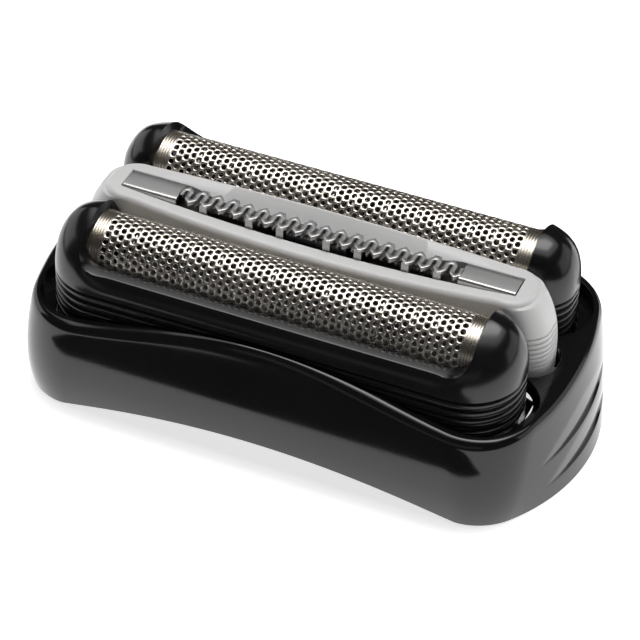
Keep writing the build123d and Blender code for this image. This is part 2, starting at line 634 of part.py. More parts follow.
def make_retainer():
    plate = hollow_outline(PLATE_TOP, PLATE_FIT)
    plate = extrude(plate, -PLATE_THICKNESS)
    for side in (1, -1):
        y = side * FOIL_Y
        for end in (1, -1):
            x0, x1 = sorted((end * PLATE_WINDOW_INNER, end * PLATE_WINDOW_OUTER))
            plate -= block(x0, x1, y - PLATE_WINDOW_HALF_WIDTH, y + PLATE_WINDOW_HALF_WIDTH, 0, PLATE_TOP)
    for end in (1, -1):
        x0, x1 = sorted((end * END_WINDOW_INNER, end * END_WINDOW_OUTER))
        plate -= block(x0, x1, -END_WINDOW_HALF_WIDTH, END_WINDOW_HALF_WIDTH, 0, PLATE_TOP)
    plate -= block(
        -DRIVE_SLOT_HALF_LENGTH, DRIVE_SLOT_HALF_LENGTH, -DRIVE_SLOT_HALF_WIDTH, DRIVE_SLOT_HALF_WIDTH,
        0, PLATE_TOP)
    gap = LEG_SLOT_GAP
    for x in (-LEG_X, LEG_X):
        for y, hook_side in LEG_ROWS:
            for side in (1, -1):
                slot = Box(LEG_WIDTH + 2 * gap, LEG_THICKNESS + 2 * gap, FAR)
                plate -= Pos(x, side * y, 0) * slot
    for x in (-TRIMMER_LEG_X, TRIMMER_LEG_X):
        plate -= Pos(x, 0, 0) * Box(LEG_WIDTH + 2 * gap, TRIMMER_LEG_THICKNESS + 2 * gap, FAR)
    for x, y in spring_places():
        plate += Pos(x, y, PLATE_TOP + SPRING_PEG_HEIGHT / 2) * Box(SPRING_PEG, SPRING_PEG, SPRING_PEG_HEIGHT)
    guide_y = BRIDGE_HALF_WIDTH + GUIDE_GAP + GUIDE_THICKNESS / 2
    for side in (1, -1):
        guide = Box(2 * PLATE_WINDOW_INNER, GUIDE_THICKNESS, GUIDE_HEIGHT)
        plate += Pos(0, side * guide_y, PLATE_TOP + GUIDE_HEIGHT / 2) * guide
    return plate


def spring_places():
    """Centres of the float springs: front pair, rear pair, trimmer pair, left then right."""
    pairs = ((SPRING_X, -FOIL_Y), (SPRING_X, FOIL_Y), (TRIMMER_SPRING_X, 0))
    return [(side * x, y) for x, y in pairs for side in (-1, 1)]


def make_drive_bridge():
    bridge = block(
        -BRIDGE_HALF_LENGTH, BRIDGE_HALF_LENGTH, -BRIDGE_HALF_WIDTH, BRIDGE_HALF_WIDTH,
        BRIDGE_BOTTOM, BRIDGE_TOP)
    bridge += rod(0, 0, BRIDGE_BOTTOM, DRIVE_BOSS_TOP, DRIVE_BOSS_RADIUS)
    bridge -= rod(0, 0, BRIDGE_BOTTOM, BRIDGE_BOTTOM + DRIVE_BORE_DEPTH, DRIVE_BORE_RADIUS)
    for y in (-FOIL_Y, FOIL_Y):
        bridge += rod(0, y, BRIDGE_BOTTOM, POST_TOP, POST_RADIUS)
    return bridge + rod(0, 0, DRIVE_BOSS_TOP, TRIMMER_PIN_TOP, TRIMMER_PIN_RADIUS)


def make_spring(x, y, z0, z1, radius, turns):
    """Compression spring of square wire, wound from z0 up to z1 in flat-sided turns."""
    low = z0 + SPRING_WIRE / 2 + SPRING_SEAT_GAP
    rise = z1 - z0 - SPRING_WIRE - 2 * SPRING_SEAT_GAP
    count = turns * SPRING_SIDES
    points = []
    for index in range(count + 1):
        angle = 2 * pi * index / SPRING_SIDES
        points.append((x + radius * cos(angle), y + radius * sin(angle), low + rise * index / count))
    path = Polyline(*points)
    start = Plane(origin=path @ 0, x_dir=(cos(pi / SPRING_SIDES), sin(pi / SPRING_SIDES), 0), z_dir=path % 0)
    return sweep(start * Rectangle(SPRING_WIRE, SPRING_WIRE), path=path, transition=Transition.RIGHT)


front_holder = make_foil_holder()
front_foil = make_foil()
front_carrier = make_cutter_carrier()
front_blades = make_cutter_blades()

nodes = {
    "housing": make_housing(),
    "retainer": make_retainer(),
    "front_foil_holder": front_holder,
    "rear_foil_holder": mirror(front_holder, about=Plane.XZ),
    "front_foil": front_foil,
    "rear_foil": mirror(front_foil, about=Plane.XZ),
    "front_cutter_carrier": front_carrier,
    "rear_cutter_carrier": mirror(front_carrier, about=Plane.XZ),
    "front_cutter_blades": front_blades,
    "rear_cutter_blades": mirror(front_blades, about=Plane.XZ),
    "trimmer_holder": make_trimmer_holder(),
    "trimmer_comb": make_trimmer_comb(),
    "trimmer_blade": make_trimmer_blade(),
    "trimmer_slider": make_trimmer_slider(),
    "drive_bridge": make_drive_bridge(),
}

pocket_tops = [SPRING_POCKET_TOP] * 4 + [TRIMMER_POCKET_TOP] * 2
spring_names = [f"{unit}_float_spring_{end}" for unit in ("front", "rear", "trimmer") for end in ("left", "right")]
for name, (x, y), top in zip(spring_names, spring_places(), pocket_tops):
    nodes[name] = make_spring(x, y, PLATE_TOP, top, SPRING_RADIUS, SPRING_TURNS)
for name, y in (("front_cutter_spring", -FOIL_Y), ("rear_cutter_spring", FOIL_Y)):
    nodes[name] = make_spring(0, y, POST_TOP, HUB_SOCKET_TOP, CUTTER_SPRING_RADIUS, CUTTER_SPRING_TURNS)

os.makedirs("parts", exist_ok=True)
for name, solid in nodes.items():
    export_step(solid, f"parts/{name}.step")
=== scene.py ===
import bmesh
import bpy
import numpy as np
from mathutils import Matrix, Vector


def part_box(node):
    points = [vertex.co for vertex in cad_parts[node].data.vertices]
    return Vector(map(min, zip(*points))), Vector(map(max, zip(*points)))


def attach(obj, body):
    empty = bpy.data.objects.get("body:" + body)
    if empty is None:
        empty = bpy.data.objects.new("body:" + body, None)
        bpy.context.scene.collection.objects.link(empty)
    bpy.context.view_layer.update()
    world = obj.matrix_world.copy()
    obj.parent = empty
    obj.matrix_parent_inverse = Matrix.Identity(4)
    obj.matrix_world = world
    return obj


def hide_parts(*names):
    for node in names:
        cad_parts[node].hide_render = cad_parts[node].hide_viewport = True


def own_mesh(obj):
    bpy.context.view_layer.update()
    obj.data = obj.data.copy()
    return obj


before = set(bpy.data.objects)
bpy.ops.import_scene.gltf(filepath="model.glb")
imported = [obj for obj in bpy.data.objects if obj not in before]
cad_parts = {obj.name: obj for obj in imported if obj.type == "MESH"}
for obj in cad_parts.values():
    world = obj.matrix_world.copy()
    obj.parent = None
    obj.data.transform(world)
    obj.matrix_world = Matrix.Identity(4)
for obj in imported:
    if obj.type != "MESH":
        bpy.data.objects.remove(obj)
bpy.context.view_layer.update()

# Housing: the moulded frame of the cassette, one piece of gloss black plastic.
# Its long walls rise to a rim at mid-length, and the end walls carry two swept finger grips.
# Sizes in this script are millimetres, and meshes are written in metres.
METRE = 0.001
WALL_BULGE = 0.28
WALL_CURVE = 0.0265
END_LEAN = 0.17
END_CURVE = 0.004
END_BOW = 20.0
BOW_OPENING = 2.0
PLAN_CORNER = 6.0
PLAN_CORNER_GROWTH = 0.1
DECK_Z = 9.6
RIM_RISE = 3.0
RIM_SPAN = 23.0
RIM_POWER = 2.15
RIM_ROUND = 0.9
ARCH_RISE = 2.7
ARCH_HALF_SPAN = 19.3
ARCH_LIMIT_X = 25
ARCH_BLEND = 0.06
PLAN_MID_Z = 6.0
WALL_ROWS = 23
CEILING_Z = 8.2
HOLLOW_BOW = 26.0
HOLLOW_CORNER = 5.0
HOLLOW_WALL = 0.8
HOLLOW_END_WALL = 1.2
HOLLOW_END_TAPER = 2.4
HOLLOW_MID_Z = 5.0
LATCH_HALF_WIDTH = 4.0
LATCH_LOW, LATCH_HIGH = 0.7, 2.1
LATCH_DEPTH = 0.6
LATCH_EDGE = 0.02
GRIP_LEDGES = (1.95, 4.65)
GRIP_DEPTH = 0.24
GRIP_FALL = 0.11
GRIP_SWEEP = 0.19
GRIP_HEIGHT = 2.4
GRIP_LEDGE = 0.22
GRIP_ROWS = np.array([-0.22, -0.14, -0.07, 0.0, 0.1, 0.35, 0.8, 1.3, 1.8, 2.2])
GRIP_END_STATION = 1.9
OPENING_CORNER = 5.4
OPENING_CORNER_X, OPENING_CORNER_Y = 19.05, 7.69
TRIMMER_MOUTH_X, TRIMMER_MOUTH_R, TRIMMER_MOUTH_FLAT = 21.0, 2.95, 0.35
LOBE_Y, LOBE_HEIGHT = 7.13, 4.54
CUSP_Y = 3.2
LIP_ROUND = 0.14
RIM_SHARE_LIMIT, LIP_SHARE_LIMIT = 0.8, 0.1
DECK_ROWS = np.array([0.3, 0.6, 0.9, 1.0])[:, None]


def box_mm(node):
    """A node's lowest and highest corner from the frame, in millimetres."""
    low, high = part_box(node)
    return np.array(low) / METRE, np.array(high) / METRE


def grid_quads(rows, columns, wrap_rows=False, wrap_columns=False):
    """Faces of a grid of points, row after row; a wrapped direction closes on its first line."""
    r = np.arange(rows if wrap_rows else rows - 1)[:, None]
    c = np.arange(columns if wrap_columns else columns - 1)[None, :]
    r_next, c_next = (r + 1) % rows, (c + 1) % columns
    corners = [r * columns + c, r * columns + c_next, r_next * columns + c_next, r_next * columns + c]
    return np.stack(np.broadcast_arrays(*corners), -1).reshape(-1, 4)


def patch(x, y, z, wrap_rows=False, wrap_columns=False):
    """Points and faces of one surface given as three arrays of the same grid."""
    x, y, z = np.broadcast_arrays(x, y, z)
    points = np.stack([x, y, z], -1).reshape(-1, 3)
    return points, grid_quads(*x.shape, wrap_rows, wrap_columns)


def box_patch(low, high):
    """Closed box between two corners: the eight corners in binary order and their six faces."""
    low, high = np.array(low), np.array(high)
    bits = (np.arange(8)[:, None] >> np.arange(3)) & 1
    faces = [(0, 2, 3, 1), (4, 5, 7, 6), (0, 1, 5, 4), (2, 6, 7, 3), (0, 4, 6, 2), (1, 3, 7, 5)]
    return np.where(bits, high, low), np.array(faces)


def make_piece(name, patches, material, body, nodes, crease=35.0):
    """Joins patches into one mesh, merges their shared edges and puts the piece on its body."""
    starts = np.cumsum([0] + [len(points) for points, _ in patches[:-1]])
    points = np.concatenate([points for points, _ in patches]) * METRE
    faces = np.concatenate([quads + start for (_, quads), start in zip(patches, starts)])
    mesh = bpy.data.meshes.new(name)
    mesh.from_pydata(points, [], faces)
    shell = bmesh.new()
    shell.from_mesh(mesh)
    bmesh.ops.remove_doubles(shell, verts=shell.verts, dist=2e-6)
    bmesh.ops.dissolve_degenerate(shell, dist=1e-6, edges=shell.edges)
    bmesh.ops.recalc_face_normals(shell, faces=shell.faces)
    shell.to_mesh(mesh)
    shell.free()
    mesh.shade_smooth()
    mesh.set_sharp_from_angle(angle=np.radians(crease))
    mesh.materials.append(material)
    piece = bpy.data.objects.new(name, mesh)
    bpy.context.scene.collection.objects.link(piece)
    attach(piece, body)
    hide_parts(*nodes)
    return piece


def grain_group():
    """Shader group: fine and broad noise over a position, as a mottle value and a bump height."""
    group = bpy.data.node_groups.new("moulding_grain", "ShaderNodeTree")
    group.interface.new_socket("Position", in_out="INPUT", socket_type="NodeSocketVector")
    group.interface.new_socket("Broad Scale", in_out="INPUT", socket_type="NodeSocketFloat")
    group.interface.new_socket("Fine Scale", in_out="INPUT", socket_type="NodeSocketFloat")
    group.interface.new_socket("Mottle", in_out="OUTPUT", socket_type="NodeSocketFloat")
    group.interface.new_socket("Height", in_out="OUTPUT", socket_type="NodeSocketFloat")
    nodes, links = group.nodes, group.links
    inside, outside = nodes.new("NodeGroupInput"), nodes.new("NodeGroupOutput")
    for scale, socket, detail in (("Broad Scale", "Mottle", 4.0), ("Fine Scale", "Height", 2.0)):
        noise = nodes.new("ShaderNodeTexNoise")
        noise.inputs["Detail"].default_value = detail
        links.new(inside.outputs["Position"], noise.inputs["Vector"])
        links.new(inside.outputs[scale], noise.inputs["Scale"])
        links.new(noise.outputs["Fac"], outside.inputs[socket])
    return group


GRAIN = grain_group()


def grain_material(name, dark, light, rough, bump, broad, fine, stretch=(1, 1, 1), **shader):
    """Principled material whose colour, roughness and bump follow the grain group.

    dark and light are the two colours, rough the two roughness values, and stretch the pattern's
    scale on each axis; shader holds constants for the shader's own sockets."""
    material = bpy.data.materials.new(name)
    material.use_nodes = True
    nodes, links = material.node_tree.nodes, material.node_tree.links
    surface = nodes["Principled BSDF"]
    for socket, value in shader.items():
        surface.inputs[socket.replace("_", " ")].default_value = value
    place, turn = nodes.new("ShaderNodeTexCoord"), nodes.new("ShaderNodeMapping")
    turn.inputs["Scale"].default_value = stretch
    grain = nodes.new("ShaderNodeGroup")
    grain.node_tree = GRAIN
    grain.inputs["Broad Scale"].default_value = broad
    grain.inputs["Fine Scale"].default_value = fine
    tint, gloss = nodes.new("ShaderNodeMix"), nodes.new("ShaderNodeMapRange")
    tint.data_type = "RGBA"
    tint.inputs["A"].default_value = (*dark, 1)
    tint.inputs["B"].default_value = (*light, 1)
    gloss.inputs["From Min"].default_value, gloss.inputs["From Max"].default_value = 0.3, 0.7
    gloss.inputs["To Min"].default_value, gloss.inputs["To Max"].default_value = rough
    relief = nodes.new("ShaderNodeBump")
    relief.inputs["Strength"].default_value = 1.0
    relief.inputs["Distance"].default_value = bump * METRE
    links.new(place.outputs["Object"], turn.inputs["Vector"])
    links.new(turn.outputs["Vector"], grain.inputs["Position"])
    links.new(grain.outputs["Mottle"], tint.inputs["Factor"])
    links.new(grain.outputs["Mottle"], gloss.inputs["Value"])
    links.new(grain.outputs["Height"], relief.inputs["Height"])
    links.new(tint.outputs["Result"], surface.inputs["Base Color"])
    links.new(gloss.outputs["Result"], surface.inputs["Roughness"])
    links.new(relief.outputs["Normal"], surface.inputs["Normal"])
    return material


def ring_stations(end_shares, corner_steps, side_steps):
    """Stations right round a plan outline, quarter after quarter, with the signs of x and y.

    A station from 0 to 1 is on the end arc, to 2 on the corner and to 3 on the long side."""
    corner = 1 + np.linspace(0, 1, corner_steps + 1)[1:]
    side = 2 + np.linspace(0, 1, side_steps + 1)[1:]
    quarter = np.concatenate([end_shares, corner, side])
    count = len(quarter)
    stations = np.concatenate([quarter, quarter[-2::-1], quarter[1:], quarter[-2:0:-1]])
    counts = (count, count - 1, count - 1, count - 2)
    return stations, np.repeat((1, -1, -1, 1), counts), np.repeat((1, 1, -1, -1), counts)


def bowed_outline(ring, half_length, half_width, bow, corner):
    """Rectangle in plan whose ends are arcs of radius bow and whose corners are rounded.

    On each part of a quarter the station's fraction runs an angle, or a share of the straight side."""
    station, sign_x, sign_y = ring
    corner_y = half_width - corner
    turn = np.arcsin(corner_y / (bow - corner))
    bow_x = half_length - bow
    corner_x = bow_x + (bow - corner) * np.cos(turn)
    end = turn * np.clip(station, 0, 1)
    bend = turn + (np.pi / 2 - turn) * np.clip(station - 1, 0, 1)
    side = 1 - np.clip(station - 2, 0, 1)
    on_end, on_corner = station <= 1, station <= 2
    along_corner = corner_x + corner * np.cos(bend)
    x_rest = np.where(on_corner, along_corner, corner_x * side)
    x = np.where(on_end, bow_x + bow * np.cos(end), x_rest)
    across_corner = np.where(on_corner, corner_y + corner * np.sin(bend), half_width)
    y = np.where(on_end, bow * np.sin(end), across_corner)
    return np.broadcast_arrays(sign_x * x, sign_y * y)


def mouth_outline(ring):
    """Edge of the three merged openings: the trimmer's round mouth between two large lobes.

    The end part runs y from 0 to the lobe's corner, and x is the outer arc of the circle or ellipse there."""
    station, sign_x, sign_y = ring
    y_end = np.clip(station, 0, 1) * OPENING_CORNER_Y
    mouth = np.clip(y_end - TRIMMER_MOUTH_FLAT, 0, CUSP_Y - TRIMMER_MOUTH_FLAT)
    mouth_x = TRIMMER_MOUTH_X + np.sqrt(TRIMMER_MOUTH_R**2 - mouth**2)
    lobe = np.clip(LOBE_Y - y_end, 0, LOBE_Y - CUSP_Y) / LOBE_HEIGHT
    lobe_x = OPENING_CORNER_X + OPENING_CORNER * np.sqrt(1 - lobe**2)
    x_end = np.where(y_end < CUSP_Y, mouth_x, lobe_x)
    bend = np.pi / 2 * np.clip(station - 1, 0, 1)
    side = 1 - np.clip(station - 2, 0, 1)
    x_corner = OPENING_CORNER_X + OPENING_CORNER * np.cos(bend)
    x_rest = np.where(station <= 2, x_corner, OPENING_CORNER_X * side)
    x = np.where(station <= 1, x_end, x_rest)
    y = np.where(station <= 1, y_end, OPENING_CORNER_Y + OPENING_CORNER * np.sin(bend))
    return sign_x * x, sign_y * y


_, housing_high = box_mm("housing")
HOUSING_HALF_LENGTH = housing_high[0]
BASE_HALF_WIDTH = housing_high[1] - WALL_BULGE**2 / (4 * WALL_CURVE)


def housing_plan(ring, z):
    """Outside of the frame at height z: ends lean in, long walls bulge and draw in, corners grow."""
    half_length = HOUSING_HALF_LENGTH - END_LEAN * z - END_CURVE * z**2
    half_width = BASE_HALF_WIDTH + WALL_BULGE * z - WALL_CURVE * z**2
    return bowed_outline(ring, half_length, half_width, END_BOW + BOW_OPENING * z,
                         PLAN_CORNER + PLAN_CORNER_GROWTH * z)


def grip_depth(y, z):
    """Depth of the swept finger grips: deepest at each ledge, dying out upwards and sideways."""
    depth = np.zeros(np.broadcast(y, z).shape)
    for ledge in GRIP_LEDGES:
        bow = END_BOW + BOW_OPENING * ledge
        fall = GRIP_DEPTH - GRIP_FALL * (z - ledge) - GRIP_SWEEP * y**2 / (2 * bow)
        step = np.clip(1 + (z - ledge) / GRIP_LEDGE, 0, 1) * (z <= ledge + GRIP_HEIGHT)
        depth = np.maximum(depth, step * np.clip(fall, 0, None))
    return depth


end_shares = np.unique(np.concatenate([np.linspace(0, 1, 41), [CUSP_Y / OPENING_CORNER_Y]]))
housing_ring = ring_stations(end_shares, 32, 40)
station_x, _ = housing_plan(housing_ring, PLAN_MID_Z)
rim_z = DECK_Z + RIM_RISE * np.clip(1 - (station_x / RIM_SPAN)**2, 0, None)**RIM_POWER
arch_radius = (ARCH_HALF_SPAN**2 + ARCH_RISE**2) / (2 * ARCH_RISE)
arch_x = np.clip(np.abs(station_x), 0, ARCH_LIMIT_X)
arch_z = ARCH_RISE - arch_radius + np.sqrt(arch_radius**2 - arch_x**2)
low_z = (arch_z + np.sqrt(arch_z**2 + ARCH_BLEND)) / 2
ledge_rows = np.concatenate([ledge + GRIP_ROWS for ledge in GRIP_LEDGES]) / (DECK_Z - RIM_ROUND)
wall_rows = np.concatenate([np.linspace(0, 1, WALL_ROWS), ledge_rows])
wall_rows = np.unique(np.round(wall_rows, 5))[:, None]
wall_z = low_z + wall_rows * (rim_z - RIM_ROUND - low_z)
wall_x, wall_y = housing_plan(housing_ring, wall_z)
at_end = np.clip(GRIP_END_STATION - housing_ring[0], 0, 1)
wall_x = wall_x - housing_ring[1] * at_end * grip_depth(wall_y, wall_z)
edge_x, edge_y = housing_plan(housing_ring, rim_z)
mouth_x, mouth_y = mouth_outline(housing_ring)
deck_width = np.hypot(edge_x - mouth_x, edge_y - mouth_y)
inset = np.minimum(RIM_ROUND / deck_width, RIM_SHARE_LIMIT)
turn_rows = np.linspace(0, 1, 10)[1:, None]
weights = (1 - turn_rows)**2, 2 * turn_rows * (1 - turn_rows), turn_rows**2
inner_x, inner_y = edge_x + inset * (mouth_x - edge_x), edge_y + inset * (mouth_y - edge_y)
rim_x = weights[0] * wall_x[-1] + weights[1] * edge_x + weights[2] * inner_x
rim_y = weights[0] * wall_y[-1] + weights[1] * edge_y + weights[2] * inner_y
round_z = weights[0] * wall_z[-1] + (1 - weights[0]) * rim_z
lip = np.minimum(LIP_ROUND / deck_width, LIP_SHARE_LIMIT)
deck_share = inset + DECK_ROWS * (1 - lip - inset)
deck_x = edge_x + deck_share * (mouth_x - edge_x)
deck_y = edge_y + deck_share * (mouth_y - edge_y)
lip_angle = np.radians([22.5, 45, 67.5, 90])[:, None]
lip_share = 1 - lip * (1 - np.sin(lip_angle))
lip_x = edge_x + lip_share * (mouth_x - edge_x)
lip_y = edge_y + lip_share * (mouth_y - edge_y)
lip_z = rim_z - LIP_ROUND * (1 - np.cos(lip_angle))
HOLLOW_HALF_WIDTH = BASE_HALF_WIDTH - HOLLOW_WALL
hollow_rows = np.array([CEILING_Z, HOLLOW_MID_Z, LATCH_HIGH + LATCH_EDGE, LATCH_HIGH,
                        LATCH_LOW, LATCH_LOW - LATCH_EDGE, 0.0])[:, None]
hollow_z = np.maximum(hollow_rows, low_z)
hollow_half_length = HOUSING_HALF_LENGTH - HOLLOW_END_WALL - HOLLOW_END_TAPER * hollow_rows / CEILING_Z
hollow_x, hollow_y = bowed_outline(housing_ring, hollow_half_length, HOLLOW_HALF_WIDTH,
                                   HOLLOW_BOW, HOLLOW_CORNER)
latch_rows = (hollow_rows <= LATCH_HIGH) & (hollow_rows >= LATCH_LOW)
in_latch = latch_rows & (np.abs(hollow_y) < LATCH_HALF_WIDTH) & (housing_ring[0] < 1)
hollow_x = hollow_x + housing_ring[1] * LATCH_DEPTH * in_latch
flat_row = np.ones((1, len(station_x)))
ring_x = np.concatenate([wall_x, rim_x, deck_x, lip_x, mouth_x * flat_row, hollow_x])
ring_y = np.concatenate([wall_y, rim_y, deck_y, lip_y, mouth_y * flat_row, hollow_y])
ring_z = np.concatenate([wall_z, round_z, rim_z + 0 * deck_x, lip_z, CEILING_Z * flat_row, hollow_z])
gloss_black = grain_material(
    "gloss_black_moulding", (0.0045, 0.0045, 0.005), (0.008, 0.008, 0.009), (0.09, 0.15), 0.0012,
    90.0, 900.0, Specular_IOR_Level=0.5)
make_piece("housing_frame", [patch(ring_x, ring_y, ring_z, True, True)], gloss_black, "root",
           ["housing"], crease=32.0)

# Retainer, drive bridge, cutter carriers and trimmer slider: plain moulded parts inside the cassette.
# They are satin dark grey acetal and show only through the openings and from below.
dark_plastic = grain_material(
    "satin_dark_moulding", (0.016, 0.017, 0.02), (0.028, 0.029, 0.033), (0.38, 0.52), 0.004,
    200.0, 2500.0)
plain_nodes = ("retainer", "drive_bridge", "front_cutter_carrier", "rear_cutter_carrier", "trimmer_slider")
for node in plain_nodes:
    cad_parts[node].data.materials.clear()
    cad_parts[node].data.materials.append(dark_plastic)

# Springs: wound from round steel wire with closed end turns, standing on pegs of the retainer
# under each floating holder, and on the posts of the drive bridge inside each cutter carrier.
WIRE = 0.3
WIRE_SIDES = 10
COIL_STEPS = 20
END_TURN_SHARE = 0.14
END_TURN_CLIMB = 0.06
FLOAT_TRAVEL = 1.5
TRIMMER_TRAVEL = 1.3


def coil_patch(x, y, low, high, radius, turns):
    """Round wire carried along a helix whose first and last turns lie nearly flat.

    Height follows the turn by a broken line; the section stands on the radial and axial directions."""
    t = np.linspace(0, 1, turns * COIL_STEPS + 1)[:, None]
    around = np.linspace(0, 2 * np.pi, WIRE_SIDES, endpoint=False)[None, :]
    climb = np.interp(t, [0, END_TURN_SHARE, 1 - END_TURN_SHARE, 1],
                      [0, END_TURN_CLIMB, 1 - END_TURN_CLIMB, 1])
    z = low + WIRE / 2 + climb * (high - low - WIRE) + WIRE / 2 * np.sin(around)
    reach = radius + WIRE / 2 * np.cos(around)
    turn = 2 * np.pi * turns * t
    return patch(x + reach * np.cos(turn), y + reach * np.sin(turn), z, wrap_columns=True)


spring_steel = grain_material(
    "drawn_spring_wire", (0.42, 0.42, 0.43), (0.56, 0.56, 0.57), (0.18, 0.3), 0.001, 400.0, 3000.0,
    Metallic=1.0)
springs = [(f"{row}_float_spring_{side}", "root", f"{row}_foil_float", FLOAT_TRAVEL, 7)
           for row in ("front", "rear") for side in ("left", "right")]
springs += [(f"trimmer_float_spring_{side}", "root", "trimmer_float", TRIMMER_TRAVEL, 8)
            for side in ("left", "right")]
springs += [(f"{row}_cutter_spring", "drive", f"{row}_foil_float", FLOAT_TRAVEL, 4)
            for row in ("front", "rear")]
for node, body, joint, travel, turns in springs:
    low, high = box_mm(node)
    middle = (low + high) / 2
    coil = coil_patch(middle[0], middle[1], low[2], high[2], (high[0] - low[0] - WIRE) / 2, turns)
    spring = make_piece(f"{node}_coil", [coil], spring_steel, body, [node], crease=60.0)
    tuple(np.array([*middle[:2], low[2]]) * METRE)
    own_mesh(spring)

# Inner cutters: a row of thin arched lamellas, stamped from hardened steel and ground to the foil's curve.
# They are set in each carrier, slide to and fro under the foil and show dimly through its holes.
LAMELLA_COUNT = 33
LAMELLA_STEPS = 25
LAMELLA_HALF_LENGTH = 16.9
LAMELLA_THICKNESS = 0.14
LAMELLA_DEPTH = 0.9
LAMELLA_RADIUS = 3.15
FOIL_AXIS_Z = 14.15
CARRIER_TOP = 12.7
foil_low, foil_high = box_mm("front_foil")
FOIL_Y = -(foil_low[1] + foil_high[1]) / 2


def lamella_patches(y):
    """Arched strips: a rectangle carried round a half circle and straight down to the carrier."""
    angle = np.concatenate([[0], np.linspace(0, np.pi, LAMELLA_STEPS), [np.pi]])
    drop = np.zeros(len(angle))
    drop[[0, -1]] = FOIL_AXIS_Z - CARRIER_TOP
    side = np.array([-1, 1, 1, -1]) * LAMELLA_THICKNESS / 2
    radius = LAMELLA_RADIUS - np.array([0, 0, 1, 1]) * LAMELLA_DEPTH
    across = y + np.cos(angle)[:, None] * radius
    up = FOIL_AXIS_Z + np.sin(angle)[:, None] * radius - drop[:, None]
    for x in np.linspace(-LAMELLA_HALF_LENGTH, LAMELLA_HALF_LENGTH, LAMELLA_COUNT):
        yield patch(x + side + 0 * across, across, up, wrap_columns=True)


lamella_steel = grain_material(
    "ground_lamella_steel", (0.52, 0.5, 0.47), (0.68, 0.66, 0.62), (0.3, 0.45), 0.002,
    300.0, 2500.0, stretch=(1, 6, 1), Metallic=1.0)
for row, y in (("front", -FOIL_Y), ("rear", FOIL_Y)):
    make_piece(f"{row}_cutter_lamellas", list(lamella_patches(y)), lamella_steel, f"{row}_cutter",
               [f"{row}_cutter_blades"], crease=40.0)

# Foil holders: gloss black mouldings with rails beside the foil, domed ends over its tips
# and fine ribs round the skirt. The two are mirror images, and hooks keep them in the retainer.
HOLDER_FRONT = 5.7
HOLDER_BACK = 3.86
HOLDER_LENGTH = 23.0
FRONT_CORNER = 5.4
BACK_CORNER = 3.4
BACK_DEPTH, BACK_POWER = 3.6, 4.0
END_DEPTH, END_POWER = 3.75, 2.6
HOLDER_BOTTOM = 8.0
SHOULDER_Z = 12.7
HOLDER_TOP = 18.3
WINDOW_Z = 14.5
WINDOW_X = 19.2
WINDOW_ROUND = 2.3
COLLAR_DEPTH = 0.3
FOIL_SEAT = 3.43
WELL_HALF_WIDTH = 2.95
SEAT_FOOT_Z = 11.57
SEAT_END_X = 19.65
RIB_PITCH = 0.88
RIB_COUNT = 5
RIB_DEPTH = 0.32
RIB_STEPS = np.array([0, 0.04, 0.22, 0.28, 0.36, 0.46, 0.7, 0.84, 0.94])
RIB_PROFILE = np.array([0, 1, 1, 0.62, 0.3, 0.1, 0, 0.08, 0.25])
RIB_FADE = 2.0
RAIL_BEVEL = 0.12
RAIL_ROUND, RAIL_ROUND_POWER, RAIL_ROUND_FADE = 0.55, 2, 3.0
END_SKIRT_DROP = 1.0
RAIL_ROWS = 8
RAIL_STRAIGHT_X, RAIL_END_COLUMNS, RAIL_COLUMNS = 16.6, 24, 84
ARCH_ROWS = 24
CORNER_SHARE = 0.97
DOME_FAR, DOME_HALVINGS = 9.0, 36
DOME_TIP_SHARE = 0.9995
WINDOW_LIP = 0.05
JOIN_POWER = 8
SLIVER = 0.01
LEG_X, LEG_WIDTH, LEG_THICKNESS, LEG_ROOT = 9.0, 1.6, 0.45, 0.3
HOOK_LOW, HOOK_TOP, HOOK_REACH = 2.7, 3.3, 0.4


def holder_faces(share):
    """Half length, front, back and corner depths of the holder at a share of its dome's height.

    Each face draws in by depth * (1 - sqrt(1 - share ** power)), a quarter of a superellipse."""
    half_length = HOLDER_LENGTH - END_DEPTH * (1 - np.sqrt(1 - share**END_POWER))
    front = HOLDER_FRONT * np.sqrt(1 - share**2)
    back = HOLDER_BACK - BACK_DEPTH * (1 - np.sqrt(1 - share**BACK_POWER))
    front_corner = np.minimum(FRONT_CORNER, CORNER_SHARE * front)
    return half_length, front, back, front_corner, np.minimum(BACK_CORNER, CORNER_SHARE * back)


def rail_face(share, x, front_side):
    """Distance of the front or back face from the foil's axis at x, rounded off near the end."""
    half_length, front, back, front_corner, back_corner = holder_faces(share)
    face, corner, reach = back, back_corner, BACK_CORNER
    if front_side:
        face, corner, reach = front, front_corner, FRONT_CORNER
    into = np.clip((np.abs(x) - (half_length - reach)) / reach, 0, 1)
    return face - corner * (1 - np.sqrt(1 - into**2))


def dome_reach(share, angle):
    """How far the dome reaches from the window's plane along each angle in plan.

    Halving steps find the outline, inside which both faces and both rounded corners hold."""
    half_length, front, back, front_corner, back_corner = holder_faces(share)
    middle = (back - front) / 2
    near = np.zeros(np.broadcast(share, angle).shape)
    far = np.full(near.shape, DOME_FAR)
    for _ in range(DOME_HALVINGS):
        reach = (near + far) / 2
        x = WINDOW_X + reach * np.cos(angle)
        y = middle + reach * np.sin(angle)
        into_front = np.clip((x - half_length + FRONT_CORNER) / FRONT_CORNER, 0, None)
        into_back = np.clip((x - half_length + BACK_CORNER) / BACK_CORNER, 0, None)
        low = np.clip((-y - front + front_corner) / front_corner, 0, None)
        high = np.clip((y - back + back_corner) / back_corner, 0, None)
        inside = (into_front**2 + low**2 < 1) & (into_back**2 + high**2 < 1) & (x < half_length)
        near, far = np.where(inside, reach, near), np.where(inside, far, reach)
    return near, middle


